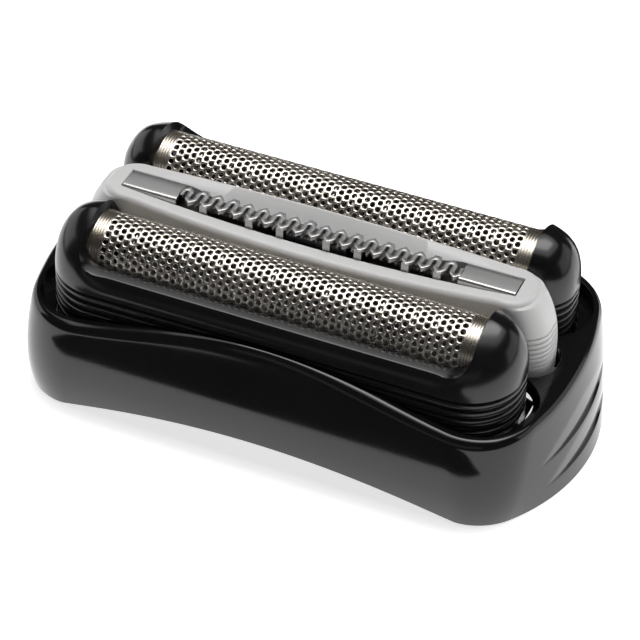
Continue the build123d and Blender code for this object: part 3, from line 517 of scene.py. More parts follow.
def holder_patches(sign):
    """Rails carried along x, domes fanned round the window's ends, collars, wells and guide legs.

    sign is -1 for the front holder; y is measured outwards from the foil's axis and then placed."""
    rib_tops = SHOULDER_Z - RIB_PITCH * np.arange(RIB_COUNT)
    rib_rows = (rib_tops[:, None] - RIB_PITCH * RIB_STEPS).ravel()
    skirt_z = np.concatenate([rib_rows, [HOLDER_BOTTOM]])[::-1, None]
    groove = np.concatenate([np.tile(RIB_DEPTH * RIB_PROFILE, RIB_COUNT), [0]])[::-1, None]
    x = np.concatenate([np.linspace(-WINDOW_X, -RAIL_STRAIGHT_X, RAIL_END_COLUMNS),
                        np.linspace(-RAIL_STRAIGHT_X, RAIL_STRAIGHT_X, RAIL_COLUMNS)[1:-1],
                        np.linspace(RAIL_STRAIGHT_X, WINDOW_X, RAIL_END_COLUMNS)])
    bend = np.clip(np.abs(x) - (WINDOW_X - WINDOW_ROUND), 0, WINDOW_ROUND)
    window_z = WINDOW_Z + WINDOW_ROUND - np.sqrt(WINDOW_ROUND**2 - bend**2)
    window_share = (window_z - SHOULDER_Z) / (HOLDER_TOP - SHOULDER_Z)
    rise = np.linspace(0, 1, RAIL_ROWS + 1)[1:, None]
    rail_share = rise * window_share
    rail_z = SHOULDER_Z + rail_share * (HOLDER_TOP - SHOULDER_Z)
    seat_y = np.sqrt(FOIL_SEAT**2 - (window_z - FOIL_AXIS_Z)**2)
    level = np.ones((1, len(x)))
    rail_round = RAIL_ROUND * rise**RAIL_ROUND_POWER * np.clip((WINDOW_X - np.abs(x)) / RAIL_ROUND_FADE, 0, 1)
    patches = []
    for front_side in (True, False):
        skirt_y = rail_face(0.0, x, front_side) - groove * front_side
        rail_y = rail_face(rail_share, x, front_side) - rail_round * front_side
        top_y = np.maximum(rail_y[-1] - RAIL_BEVEL, seat_y)
        ys = np.concatenate([WELL_HALF_WIDTH * level, skirt_y, rail_y, top_y * level, seat_y * level,
                             FOIL_SEAT * level, WELL_HALF_WIDTH * level])
        top_z = (window_z + WINDOW_LIP) * level
        zs = np.concatenate([HOLDER_BOTTOM * level, skirt_z + 0 * x, rail_z, top_z, top_z,
                             SEAT_FOOT_Z * level, SEAT_FOOT_Z * level])
        patches.append(patch(x + 0 * ys, ys if front_side else -ys, zs, wrap_rows=True))
    angle = np.linspace(-np.pi / 2, np.pi / 2, 2 * ARCH_ROWS + 1)
    tall = window_share[-1]
    arch_turn = np.linspace(np.arcsin(tall), np.pi / 2, ARCH_ROWS + 1)[1:]
    share = np.concatenate([np.linspace(0, tall, RAIL_ROWS + 1), np.sin(arch_turn)])[:, None]
    share[-1] = DOME_TIP_SHARE
    reach, middle = dome_reach(share, angle)
    dome_x, dome_y = WINDOW_X + reach * np.cos(angle), middle + reach * np.sin(angle)
    dome_x[-1], dome_y[-1] = WINDOW_X, dome_y[-1].mean()
    dome_z = SHOULDER_Z + share * (HOLDER_TOP - SHOULDER_Z) + 0 * dome_x
    foot_reach, foot_middle = dome_reach(np.zeros((1, 1)), angle)
    fade = np.clip((HOLDER_BACK - (foot_middle + foot_reach * np.sin(angle))) / RIB_FADE, 0, 1)
    skirt_reach = foot_reach - groove * fade
    along = np.linspace(0, 1, len(angle))
    away = 1 - (2 * along - 1)**JOIN_POWER
    end_skirt_z = skirt_z + 0 * angle
    end_skirt_z[0] -= END_SKIRT_DROP * away
    square = np.minimum((HOLDER_LENGTH - WINDOW_X) / np.clip(np.cos(angle), SLIVER, None),
                        (HOLDER_BACK - foot_middle) / np.clip(np.sin(angle), SLIVER, None))
    skirt_reach[0] = np.where(angle > 0, np.maximum(square, foot_reach), foot_reach)
    skirt_x = WINDOW_X + skirt_reach * np.cos(angle)
    skirt_y = foot_middle + skirt_reach * np.sin(angle)
    outer = [np.concatenate([skirt, dome[1:]])
             for skirt, dome in ((skirt_x, dome_x), (skirt_y, dome_y), (end_skirt_z, dome_z))]
    arch = np.concatenate([np.arange(RAIL_ROWS, len(share)), np.arange(len(share) - 2, RAIL_ROWS - 1, -1)])
    column = np.where(np.arange(len(arch)) <= ARCH_ROWS, 0, len(angle) - 1)
    start = np.arcsin((window_z[-1] + WINDOW_LIP - FOIL_AXIS_Z) / FOIL_SEAT)
    sweep = np.pi - start - along * (np.pi - 2 * start)
    circle_y, circle_z = FOIL_SEAT * np.cos(sweep), FOIL_AXIS_Z + FOIL_SEAT * np.sin(sweep)
    wall_x = WINDOW_X + (SEAT_END_X - WINDOW_X) * away
    well_y = FOIL_SEAT * (2 * along - 1)
    narrow_y = well_y * WELL_HALF_WIDTH / FOIL_SEAT
    inner_x = np.stack([dome_x[arch, column], WINDOW_X - COLLAR_DEPTH * away,
                        wall_x, wall_x, wall_x, wall_x, skirt_x[0]])
    inner_y = np.stack([dome_y[arch, column], circle_y, circle_y, well_y, narrow_y, narrow_y, skirt_y[0]])
    floor_z = end_skirt_z[0]
    foot_z = np.full(len(along), SEAT_FOOT_Z)
    inner_z = np.stack([dome_z[arch, column], circle_z, circle_z, foot_z, foot_z, floor_z, floor_z])
    for end in (1, -1):
        patches.append(patch(end * outer[0], -outer[1], outer[2]))
        patches.append(patch(end * inner_x, -inner_y, inner_z))
    for leg_x in (-LEG_X, LEG_X):
        low_x, high_x = leg_x - LEG_WIDTH / 2, leg_x + LEG_WIDTH / 2
        for y, side in ((HOLDER_FRONT - LEG_THICKNESS, -1), (-HOLDER_BACK + LEG_THICKNESS / 2, 1)):
            half = LEG_THICKNESS / 2
            tip = sorted((y, y + side * (half + HOOK_REACH)))
            patches.append(box_patch((low_x, y - half, HOOK_LOW), (high_x, y + half, HOLDER_BOTTOM + LEG_ROOT)))
            patches.append(box_patch((low_x, tip[0], HOOK_LOW), (high_x, tip[1], HOOK_TOP)))
    return [(points * (1, sign, 1) + (0, sign * FOIL_Y, 0), faces) for points, faces in patches]


holder_black = grain_material(
    "polished_holder_moulding", (0.0045, 0.0045, 0.005), (0.008, 0.008, 0.009), (0.16, 0.24), 0.0012,
    90.0, 900.0)
for row, sign in (("front", -1), ("rear", 1)):
    make_piece(f"{row}_holder_moulding", holder_patches(sign), holder_black, f"{row}_foil_unit",
               [f"{row}_foil_holder"], crease=38.0)

# Foils: electroformed nickel sheet with staggered six-sided holes, bent over the cutter and
# held by its feet. The webs round over into the holes, and the end bands carry a few fine grooves.
HOLE_COLUMNS = 54
COLUMN_PITCH = 0.655
ROW_PITCH = 0.755
ARCH_ROW_COUNT = 14
HOLE_RADIUS = 0.235
HOLE_SQUARENESS = 0.85
HOLE_DROP = 0.05
WEB_ROUND, WEB_DROP = 0.055, 0.006
FOIL_RADIUS = 3.4
FOIL_SHEET = 0.09
FOIL_END_X = 19.3
FOIL_FOOT_Z = 11.6
BAND_GROOVES = 6
BAND_GROOVE_DEPTH = 0.18
BAND_SHEET = 0.2
BAND_NOTCH = np.array([0.0, 0.55, 0.65, 0.9])
FOOT_COLUMNS = 30
CELL_EDGE = np.array([(-1, -1), (-0.5, -1), (0, -1), (0.5, -1), (1, -1), (1, 0),
                      (1, 1), (0.5, 1), (0, 1), (-0.5, 1), (-1, 1), (-1, 0)], float)


def arch_point(x, s, depth, y):
    """Point of the foil at length s round the arch from its top and depth below the outer face."""
    angle = np.pi / 2 - s / FOIL_RADIUS
    radius = FOIL_RADIUS - depth
    across, up = y + radius * np.cos(angle), FOIL_AXIS_Z + radius * np.sin(angle)
    return np.stack(np.broadcast_arrays(x, across, up), -1)


def foil_patches(y):
    """Perforated cells, plain half cells, end bands and feet of one foil.

    A cell is a rectangle with a rounded six-sided hole: twelve points on its edge, a ring near the
    hole, the hole's rim a little lower, its rim on the inner face and that face's edge."""
    half_run = HOLE_COLUMNS * COLUMN_PITCH / 2
    half_arch = ARCH_ROW_COUNT * ROW_PITCH / 2
    grid = np.meshgrid(np.arange(HOLE_COLUMNS), np.arange(ARCH_ROW_COUNT))
    column, row = (index.ravel() for index in grid)
    keep = (column % 2 == 0) | (row < ARCH_ROW_COUNT - 1)
    column, row = column[keep], row[keep]
    x = (column + 0.5) * COLUMN_PITCH - half_run
    s = (row + 0.5 + 0.5 * (column % 2)) * ROW_PITCH - half_arch
    edge = CELL_EDGE * (COLUMN_PITCH / 2, ROW_PITCH / 2)
    toward = edge / np.linalg.norm(edge, axis=1)[:, None]
    facet = np.arctan2(toward[:, 1], toward[:, 0]) % (np.pi / 3) - np.pi / 6
    hole = HOLE_RADIUS * (1 - HOLE_SQUARENESS + HOLE_SQUARENESS / np.cos(facet))[:, None] * toward
    ring = hole + toward * WEB_ROUND
    rings = [(edge, 0.0), (ring, WEB_DROP), (hole, HOLE_DROP), (hole, FOIL_SHEET), (edge, FOIL_SHEET)]
    points = np.stack([arch_point(x[:, None] + shape[:, 0], s[:, None] + shape[:, 1], depth, y)
                       for shape, depth in rings], 1)
    cell = grid_quads(len(rings), len(edge), wrap_columns=True)
    starts = np.arange(len(x))[:, None, None] * len(rings) * len(edge)
    patches = [(points.reshape(-1, 3), (cell + starts).reshape(-1, 4))]
    half_steps = (np.arange(2 * ARCH_ROW_COUNT + 1) - ARCH_ROW_COUNT) * ROW_PITCH / 2
    for start in (0, 2 * ARCH_ROW_COUNT - 1):
        for odd in np.arange(1, HOLE_COLUMNS, 2):
            across = (odd + np.linspace(0, 1, 5)) * COLUMN_PITCH - half_run
            for depth in (0.0, FOIL_SHEET):
                strip = arch_point(across[:, None], half_steps[None, start:start + 2], depth, y)
                patches.append((strip.reshape(-1, 3), grid_quads(5, 2)))
    pitch = (FOIL_END_X - half_run) / BAND_GROOVES
    notch_x = (np.arange(BAND_GROOVES)[:, None] + BAND_NOTCH).ravel() * pitch
    band_x = half_run + np.concatenate([notch_x, [FOIL_END_X - half_run]])
    notch_depth = np.tile([0, 0, BAND_GROOVE_DEPTH, BAND_GROOVE_DEPTH], BAND_GROOVES)
    band_depth = np.concatenate([notch_depth, [0]])
    for end in (1, -1):
        outer = arch_point(end * band_x[:, None], half_steps[None, :], band_depth[:, None], y)
        inner = arch_point(end * band_x[:, None], half_steps[None, :], BAND_SHEET, y)
        tip = np.concatenate([outer, inner[::-1]])
        patches.append((tip.reshape(-1, 3), grid_quads(*tip.shape[:2])))
    for side in (-1, 1):
        across = FOIL_RADIUS - FOIL_SHEET * np.array([0, 0, 1, 1])
        up = np.array([0.0, FOIL_FOOT_Z - FOIL_AXIS_Z, FOIL_FOOT_Z - FOIL_AXIS_Z, 0.0]) + FOIL_AXIS_Z
        foot_x = np.linspace(-FOIL_END_X, FOIL_END_X, FOOT_COLUMNS)[:, None]
        patches.append(patch(foot_x, y + side * across[None, :], up[None, :]))
    return patches


foil_nickel = grain_material(
    "electroformed_nickel", (0.70, 0.645, 0.565), (0.82, 0.765, 0.69), (0.24, 0.34), 0.003,
    120.0, 1800.0, Metallic=1.0)
for row, y in (("front", -FOIL_Y), ("rear", FOIL_Y)):
    make_piece(f"{row}_foil_sheet", foil_patches(y), foil_nickel, f"{row}_foil_unit",
               [f"{row}_foil"], crease=50.0)

# Trimmer holder: a satin white moulding between the foils. Its top dips in front of the comb and
# rises behind it, with a channel for the comb, fine ribs round the ends and two guide legs.
TRIMMER_HALF_WIDTH = 2.95
TRIMMER_FOOT_LENGTH = 23.4
TRIMMER_END_LEAN = 2.0
TRIMMER_BOW = 60.0
TRIMMER_CORNER = 2.4
TRIMMER_BOTTOM = 9.7
TRIMMER_TOP = 17.0
TRIMMER_MID_Z = 14.0
FRONT_DIP, REAR_CROWN, SADDLE_SPAN = 1.05, 0.5, 20.0
END_FALL, END_FALL_START = 1.1, 19.5
LEDGE_Y, LEDGE_DROP, LEDGE_END, LEDGE_FADE = 0.96, 0.55, 13.9, 4.0
TRIMMER_EDGE = 0.55
CHANNEL_HALF_LENGTH, CHANNEL_HALF_WIDTH, CHANNEL_FLOOR = 19.7, 1.33, 15.48
SLOT_HALF_LENGTH, SLOT_HALF_WIDTH = 5.2, 1.0
TRIMMER_RIB_TOP = 13.6
TRIMMER_RIB_PITCH = 0.52
TRIMMER_RIB_COUNT = 7
TRIMMER_RIB_DEPTH = 0.14
TRIMMER_RIB_STEPS = np.array([0, 0.08, 0.2, 0.28])
TRIMMER_RIB_START, TRIMMER_RIB_FADE, TRIMMER_RIB_END_SHARE = 19.5, 0.6, 0.8
CHANNEL_LIP = 0.06
# Margin and depth of the painted shade inside the comb's channel.
PAINTED_SHADE_MARGIN, PAINTED_SHADE_DEPTH = 0.01, 0.1
TRIMMER_LEG_X, TRIMMER_LEG_THICKNESS = 12.5, 0.8


def trimmer_plan(ring, z):
    """Outside of the trimmer holder at height z: its ends curve in towards the top."""
    share = np.clip((z - TRIMMER_BOTTOM) / (TRIMMER_TOP - TRIMMER_BOTTOM), 0, 1)
    half_length = TRIMMER_FOOT_LENGTH - TRIMMER_END_LEAN * share**3
    return bowed_outline(ring, half_length, TRIMMER_HALF_WIDTH, TRIMMER_BOW, TRIMMER_CORNER)


def saddle(x, y, crown):
    """Height of the holder's top: along x a parabola that dips in front, and one that rises behind."""
    swell = np.clip(1 - (x / SADDLE_SPAN)**2, 0, None)
    return TRIMMER_TOP + swell * np.where(y < 0, -FRONT_DIP, crown)


def slot_plan(ring, half_length, half_width):
    """Rectangle on the same stations: ends share y, sides share x, and corners are single points."""
    station, sign_x, sign_y = ring
    x = half_length * (1 - np.clip(station - 2, 0, 1))
    return sign_x * x, sign_y * half_width * np.clip(station, 0, 1)


trimmer_ring = ring_stations(np.linspace(0, 1, 7), 16, 60)
trimmer_x, trimmer_y = trimmer_plan(trimmer_ring, TRIMMER_MID_Z)
saddle_z = saddle(trimmer_x, trimmer_y, REAR_CROWN)
rib_top = TRIMMER_RIB_TOP - TRIMMER_RIB_PITCH * np.arange(TRIMMER_RIB_COUNT)
rib_rows = (rib_top[:, None] - TRIMMER_RIB_STEPS).ravel()
skirt_rows = np.concatenate([[TRIMMER_BOTTOM], rib_rows[::-1]])[:, None]
one_rib = [0, TRIMMER_RIB_DEPTH, TRIMMER_RIB_DEPTH, 0]
rib_inset = np.concatenate([[0], np.tile(one_rib, TRIMMER_RIB_COUNT)])[:, None]
upper = np.linspace(0, 1, 9)[1:, None]
upper_rows = TRIMMER_RIB_TOP + upper * (saddle_z - TRIMMER_EDGE - TRIMMER_RIB_TOP)
side_z = np.concatenate([skirt_rows + 0 * saddle_z, upper_rows])
side_z[0] -= END_FALL * np.clip(np.abs(trimmer_x) - END_FALL_START, 0, 1)
side_x, side_y = trimmer_plan(trimmer_ring, side_z)
near_end = np.clip((np.abs(trimmer_x) - TRIMMER_RIB_START) / TRIMMER_RIB_FADE, 0, 1)
rib_in = np.concatenate([rib_inset * near_end, np.zeros_like(upper_rows)])
side_x = side_x - np.sign(side_x) * rib_in * TRIMMER_RIB_END_SHARE
side_y = side_y - np.sign(side_y) * rib_in * np.clip(np.abs(side_y) / TRIMMER_HALF_WIDTH, 0, 1)
edge_turn = np.radians(np.linspace(0, 90, 8))[1:, None]
outer_x, outer_y = trimmer_plan(trimmer_ring, saddle_z)
edge_in = TRIMMER_EDGE * (1 - np.cos(edge_turn))
edge_ring_x = outer_x * (1 - edge_in / TRIMMER_FOOT_LENGTH)
edge_ring_y = outer_y * (1 - edge_in / TRIMMER_HALF_WIDTH)
edge_ring_z = saddle_z - TRIMMER_EDGE * (1 - np.sin(edge_turn))
channel_x, channel_y = slot_plan(trimmer_ring, CHANNEL_HALF_LENGTH, CHANNEL_HALF_WIDTH)
slot_x, slot_y = slot_plan(trimmer_ring, SLOT_HALF_LENGTH, SLOT_HALF_WIDTH)
behind_comb = np.clip((LEDGE_END - np.abs(channel_x)) / LEDGE_FADE, 0, 1) * (channel_y > LEDGE_Y)
behind_comb = behind_comb**2 * (3 - 2 * behind_comb)
channel_z = saddle(channel_x, channel_y, 0.0) - LEDGE_DROP * behind_comb
channel_y = channel_y - behind_comb * (CHANNEL_HALF_WIDTH - LEDGE_Y)
one = np.ones((1, len(trimmer_x)))
lip_x = channel_x * (1 + CHANNEL_LIP / CHANNEL_HALF_LENGTH)
lip_y = channel_y * (1 + CHANNEL_LIP / CHANNEL_HALF_WIDTH)
trimmer_shape = [
    np.concatenate([side_x, edge_ring_x, lip_x * one, channel_x * one, channel_x * one,
                    slot_x * one, slot_x * one]),
    np.concatenate([side_y, edge_ring_y, lip_y * one, channel_y * one, channel_y * one,
                    slot_y * one, slot_y * one]),
    np.concatenate([side_z, edge_ring_z, channel_z * one, (channel_z - CHANNEL_LIP) * one,
                    CHANNEL_FLOOR * one, CHANNEL_FLOOR * one, TRIMMER_BOTTOM * one])]
trimmer_patches = [patch(*trimmer_shape, True, True)]
for leg_x in (-TRIMMER_LEG_X, TRIMMER_LEG_X):
    low_x, high_x, half = leg_x - LEG_WIDTH / 2, leg_x + LEG_WIDTH / 2, TRIMMER_LEG_THICKNESS / 2
    trimmer_patches.append(box_patch((low_x, -half, HOOK_LOW), (high_x, half, TRIMMER_BOTTOM + LEG_ROOT)))
    trimmer_patches.append(box_patch((low_x, 0, HOOK_LOW), (high_x, half + HOOK_REACH, HOOK_TOP)))
white_plastic = grain_material(
    "satin_white_moulding", (0.65, 0.645, 0.64), (0.72, 0.715, 0.71), (0.34, 0.46), 0.004, 120.0, 2200.0)
trimmer_holder = make_piece("trimmer_holder_moulding", trimmer_patches, white_plastic, "trimmer_unit",
                            ["trimmer_holder"], crease=38.0)
# Painted shade: the faces deep inside the comb's channel, below the front dip, get a dark brown material. It
# stands in for the shade that falls in the channel.
channel_shade_paint = grain_material(
    "painted_channel_shade", (0.035, 0.03, 0.026), (0.06, 0.052, 0.045), (0.5, 0.65), 0.004,
    200.0, 2000.0)
trimmer_holder.data.materials.append(channel_shade_paint)
centres = np.empty(3 * len(trimmer_holder.data.polygons), np.float32)
trimmer_holder.data.polygons.foreach_get("center", centres)
centre_x, centre_y, centre_z = np.abs(centres.reshape(-1, 3).T) / METRE
painted_shade_faces = (centre_x < CHANNEL_HALF_LENGTH + PAINTED_SHADE_MARGIN) & (centre_y < CHANNEL_HALF_WIDTH + PAINTED_SHADE_MARGIN)
painted_shade_faces &= centre_z < TRIMMER_TOP - FRONT_DIP - PAINTED_SHADE_DEPTH
trimmer_holder.data.polygons.foreach_set("material_index", painted_shade_faces.astype(np.int32))

# Trimmer comb: stamped steel sheet folded into a channel, with a serpentine strand between two
# end plates. Some turns of the strand carry a leg that is bent down into the white holder.
COMB_TOP = 17.0
COMB_SHEET = 0.3
COMB_HALF_WIDTH = 1.25
COMB_HALF_LENGTH = 19.6
PLATE_INNER = 14.1
PLATE_SIDE = 1.5
FOLD_RADIUS = 0.32
STRAND_WIDTH = 0.46
STRAND_COUNT = 37
STRAND_PITCH = 0.7785
LEG_PATTERN = 5
FRONT_LEGS, BACK_LEGS = (1, 4), (1, 3)
COMB_LEG_DEPTH, COMB_LEG_WIDTH, COMB_LEG_TOP = 1.3, 0.72, 0.08
STRAND_SHEET = 0.42
STRAND_EDGE = np.array([0, 0, 0.02, 0.06])
STRAND_FALL = np.array([STRAND_SHEET, 0.06, 0.02, 0])
RUN_STEPS, TURN_STEPS, FOLD_STEPS = 7, 13, 7
PLATE_STATIONS = np.array([0, 0, 0.01, 0.5, 0.99, 1, 1])
PLATE_NARROWING = np.array([1, 0.985, 1, 1, 1, 0.985, 1])[:, None]
PLATE_CAPPED = np.array([1, 0, 0, 0, 0, 0, 1], bool)[:, None]
PLATE_CAP_WIDTH, PLATE_CAP_SHARE = 0.9, 0.98


def serpentine():
    """Middle line of the strand, its sideways direction, its way and its outer reach.

    Straight runs are joined by half turns whose outer edge is drawn out to a right-angled point."""
    turn = STRAND_PITCH / 2
    outer = turn + STRAND_WIDTH / 2
    straight = COMB_HALF_WIDTH - outer / np.cos(np.pi / 4)
    run = np.arange(STRAND_COUNT)[:, None]
    way = 1 - 2 * (run % 2)
    x_run = (run - (STRAND_COUNT - 1) / 2) * STRAND_PITCH
    along = np.linspace(-1, 1, RUN_STEPS)[None, :]
    angle = np.linspace(0, np.pi, TURN_STEPS)[None, 1:-1]
    x = np.concatenate([x_run + 0 * along, x_run + turn - turn * np.cos(angle)], 1)
    y = np.concatenate([way * straight * along, way * (straight + turn * np.sin(angle))], 1)
    side_x = np.concatenate([-1 + 0 * along + 0 * x_run, -np.cos(angle) + 0 * x_run], 1) * way
    side_y = np.concatenate([0 * along + 0 * x_run, np.sin(angle) + 0 * x_run], 1)
    point = np.clip(np.pi / 4 - np.abs(angle - np.pi / 2), 0, None)
    tip = outer / np.cos(point) - turn
    reach = np.concatenate([STRAND_WIDTH / 2 + 0 * along + 0 * x_run, tip + 0 * x_run], 1)
    count = STRAND_COUNT * x.shape[1] - angle.shape[1]
    return [values.ravel()[:count] for values in (x, y, side_x, side_y, way + 0 * x, reach)]


def strand_patch():
    """Flat strand with rounded upper edges carried along the serpentine."""
    x, y, side_x, side_y, way, reach = (values[:, None] for values in serpentine())
    half = STRAND_WIDTH / 2
    across = np.concatenate([STRAND_EDGE - half, (half - STRAND_EDGE)[::-1]])
    across = across * np.where(across * way > 0, reach / half, 1.0)
    up = COMB_TOP - np.concatenate([STRAND_FALL, STRAND_FALL[::-1]])
    return patch(x + side_x * across, y + side_y * across, up + 0 * x, wrap_columns=True)


def plate_patch(end):
    """End plate: a rounded channel section carried along x."""
    fold = np.radians(np.linspace(90, 0, FOLD_STEPS))
    flat = COMB_HALF_WIDTH - FOLD_RADIUS
    out_y = np.concatenate([[0], flat + FOLD_RADIUS * np.cos(fold), [COMB_HALF_WIDTH]])
    fold_z = COMB_TOP - FOLD_RADIUS + FOLD_RADIUS * np.sin(fold)
    out_z = np.concatenate([[COMB_TOP], fold_z, [COMB_TOP - PLATE_SIDE]])
    in_y = np.array([COMB_HALF_WIDTH - COMB_SHEET, COMB_HALF_WIDTH - COMB_SHEET, 0])
    in_z = np.array([COMB_TOP - PLATE_SIDE, COMB_TOP - COMB_SHEET, COMB_TOP - COMB_SHEET])
    half_y, half_z = np.concatenate([out_y, in_y]), np.concatenate([out_z, in_z])
    y = np.concatenate([half_y, -half_y[-2:0:-1]])[None, :]
    z = np.concatenate([half_z, half_z[-2:0:-1]])[None, :]
    length = COMB_HALF_LENGTH - PLATE_INNER
    x = end * (PLATE_INNER + length * PLATE_STATIONS)[:, None]
    cap_y = np.clip(y, -PLATE_CAP_WIDTH, PLATE_CAP_WIDTH) * PLATE_CAP_SHARE
    end_y = np.where(PLATE_CAPPED, cap_y, y * PLATE_NARROWING)
    end_z = np.where(PLATE_CAPPED, COMB_TOP - COMB_SHEET / 2, z)
    return patch(x + 0 * y, end_y, end_z, wrap_columns=True)


comb_patches = [strand_patch(), plate_patch(1), plate_patch(-1)]
turns = np.arange(STRAND_COUNT - 1)
turn_x = (turns + 0.5 - (STRAND_COUNT - 1) / 2) * STRAND_PITCH
for index, x in zip(turns, turn_x):
    front = index % 2 == 1
    legs = FRONT_LEGS if front else BACK_LEGS
    if (index // 2) % LEG_PATTERN in legs:
        y = sorted((np.array([COMB_HALF_WIDTH, COMB_HALF_WIDTH - COMB_SHEET])) * (-1 if front else 1))
        comb_patches.append(box_patch((x - COMB_LEG_WIDTH / 2, y[0], COMB_TOP - COMB_LEG_DEPTH),
                                      (x + COMB_LEG_WIDTH / 2, y[1], COMB_TOP - COMB_LEG_TOP)))
comb_steel = grain_material(
    "brushed_comb_steel", (0.46, 0.455, 0.45), (0.62, 0.615, 0.61), (0.31, 0.44), 0.004, 160.0, 1600.0,
    stretch=(0.15, 4, 4), Metallic=1.0)
make_piece("trimmer_comb_sheet", comb_patches, comb_steel, "trimmer_unit",
           ["trimmer_comb"], crease=40.0)

# Trimmer blade: the toothed strip just below the comb, ground from darker hardened steel.
# The slider carries it to and fro, and its teeth show between the turns of the comb's strand.
BLADE_LENGTH = 12.6
BLADE_SPINE, BLADE_REACH = 0.45, 0.9
BLADE_PITCH = 0.72
BLADE_GAP = 0.06
BLADE_TIP = 0.01
TOOTH_STATIONS = np.array([0, 0.22, 0.36, 0.64, 0.78])
TOOTH_REACH = [BLADE_SPINE, BLADE_SPINE, BLADE_REACH, BLADE_REACH, BLADE_SPINE]
blade_low, blade_high = box_mm("trimmer_blade")
blade_high[2] = COMB_TOP - STRAND_SHEET - BLADE_GAP
phase = np.arange(-BLADE_LENGTH, BLADE_LENGTH, BLADE_PITCH)[:, None]
blade_x = (phase + BLADE_PITCH * TOOTH_STATIONS).ravel()[:, None]
blade_edge = np.tile(TOOTH_REACH, len(phase))[:, None]
blade_edge[[0, -1]] = BLADE_TIP
blade_section = np.array([[-1, 1, 1, -1]])
blade_height = np.array([[blade_high[2], blade_high[2], blade_low[2], blade_low[2]]])
blade_steel = grain_material(
    "hardened_blade_steel", (0.16, 0.15, 0.14), (0.30, 0.29, 0.28), (0.3, 0.45), 0.003, 200.0, 1800.0,
    stretch=(1, 5, 1), Metallic=1.0)
blade_patch = patch(blade_x, blade_edge * blade_section, blade_height, wrap_columns=True)
make_piece("trimmer_blade_strip", [blade_patch], blade_steel, "trimmer_cutter",
           ["trimmer_blade"], crease=40.0)

# Stage: a pale lit floor under soft studio light, with the camera at the photograph's viewing angle.
# Gloss surfaces see only a strip of the floor round the part, as they do beside a dark studio.
FLOOR_REACH = 1500.0
STRIP_HALF_LENGTH, STRIP_HALF_WIDTH = 150.0, 24.5
WING_INNER = 30.0
WING_LEFT = 36.0
WING_HALF_WIDTH = 130.0
FLOOR_DROP = 0.02
FLOOR_GLOW, STRIP_GLOW = 0.7, 0.9


def stage_sheet(name, x_range, half_width, glow):
    """Flat pale sheet on the floor's plane that gives off a little light of its own."""
    x, y = np.meshgrid(np.linspace(*x_range, 3), np.linspace(-1, 1, 3) * half_width)
    points, faces = patch(x, y, -FLOOR_DROP)
    mesh = bpy.data.meshes.new(name)
    mesh.from_pydata(points * METRE, [], faces)
    mesh.materials.append(grain_material(
        name, (0.86, 0.86, 0.86), (0.9, 0.9, 0.9), (0.8, 0.9), 0.0, 3.0, 40.0, Specular_IOR_Level=0.1,
        Emission_Color=(1, 1, 1, 1), Emission_Strength=glow))
    sheet = bpy.data.objects.new(name, mesh)
    bpy.context.scene.collection.objects.link(sheet)
    return sheet


floor = stage_sheet("studio_floor", (-FLOOR_REACH, FLOOR_REACH), FLOOR_REACH, FLOOR_GLOW)
floor.visible_glossy = False
strip_sheets = (("reflected_floor", (-WING_LEFT, WING_INNER), STRIP_HALF_WIDTH),
                ("reflected_floor_right", (WING_INNER, STRIP_HALF_LENGTH), WING_HALF_WIDTH),
                ("reflected_floor_left", (-STRIP_HALF_LENGTH, -WING_LEFT), WING_HALF_WIDTH))
for name, x_range, half_width in strip_sheets:
    strip = stage_sheet(name, x_range, half_width, STRIP_GLOW)
    strip.visible_camera = strip.visible_diffuse = strip.visible_shadow = False

LIGHT_AIM = Vector((0, 0, 0.01))
STUDIO_LIGHTS = (("overhead_softbox", (0.0, 0.12, 0.6), (0.9, 0.55), 2.2),
                 ("overhead_core", (0.0, 0.12, 0.58), (0.5, 0.22), 1.6),
                 ("right_panel", (0.45, 0.22, 0.13), (0.5, 0.26), 0.32),
                 ("front_panel", (0.1, -0.6, 0.2), (0.7, 0.16), 0.08),
                 ("left_panel", (-0.45, 0.1, 0.13), (0.4, 0.26), 0.4))


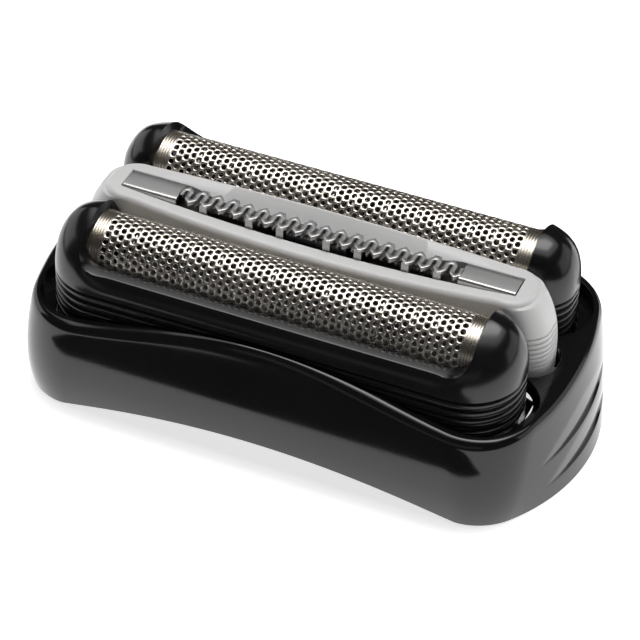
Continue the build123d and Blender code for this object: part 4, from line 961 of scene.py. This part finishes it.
def soft_light(name, place, size, power):
    """Rectangular studio softbox at a place, in metres, turned to face the part."""
    light = bpy.data.lights.new(name, "AREA")
    light.shape = "RECTANGLE"
    light.size, light.size_y = size
    light.energy = power
    lamp = bpy.data.objects.new(name, light)
    lamp.location = place
    lamp.rotation_euler = (LIGHT_AIM - Vector(place)).to_track_quat("-Z", "Y").to_euler()
    bpy.context.scene.collection.objects.link(lamp)


for name, place, size, power in STUDIO_LIGHTS:
    soft_light(name, place, size, power)
world = bpy.data.worlds.new("studio")
bpy.context.scene.world = world
world.use_nodes = True
sky = world.node_tree.nodes["Background"]
path, shade = (world.node_tree.nodes.new(f"ShaderNode{kind}") for kind in ("LightPath", "Mix"))
shade.data_type = "RGBA"
shade.inputs["A"].default_value = (0.02, 0.02, 0.021, 1)
shade.inputs["B"].default_value = (1, 1, 1, 1)
world.node_tree.links.new(path.outputs["Is Camera Ray"], shade.inputs["Factor"])
world.node_tree.links.new(shade.outputs["Result"], sky.inputs["Color"])
bpy.context.scene.view_settings.view_transform = "Standard"

AZIMUTH, ELEVATION, ROLL = np.radians([21.66, 38.76, 2.18])
DISTANCE = 274.4
FOCAL_PIXELS = 2977.4
FRAME_PIXELS = 640
SENSOR = 36.0
SHIFT_RIGHT, SHIFT_UP = 0.02, -8.21
back = np.array([np.sin(AZIMUTH) * np.cos(ELEVATION), -np.cos(AZIMUTH) * np.cos(ELEVATION),
                 np.sin(ELEVATION)])
level_right = np.array([np.cos(AZIMUTH), np.sin(AZIMUTH), 0])
level_up = np.cross(back, level_right)
right = np.cos(ROLL) * level_right + np.sin(ROLL) * level_up
up = -np.sin(ROLL) * level_right + np.cos(ROLL) * level_up
eye = (DISTANCE * back + SHIFT_RIGHT * right + SHIFT_UP * up + (0, 0, COMB_TOP)) * METRE
camera_data = bpy.data.cameras.new("photo_camera")
camera_data.sensor_width = SENSOR
camera_data.lens = FOCAL_PIXELS / FRAME_PIXELS * SENSOR
camera_data.clip_start, camera_data.clip_end = 0.01, 10.0
camera = bpy.data.objects.new("photo_camera", camera_data)
camera_rows = np.column_stack([right, up, back, eye])
camera.matrix_world = Matrix([*camera_rows.tolist(), (0, 0, 0, 1)])
bpy.context.scene.collection.objects.link(camera)
bpy.context.scene.camera = camera
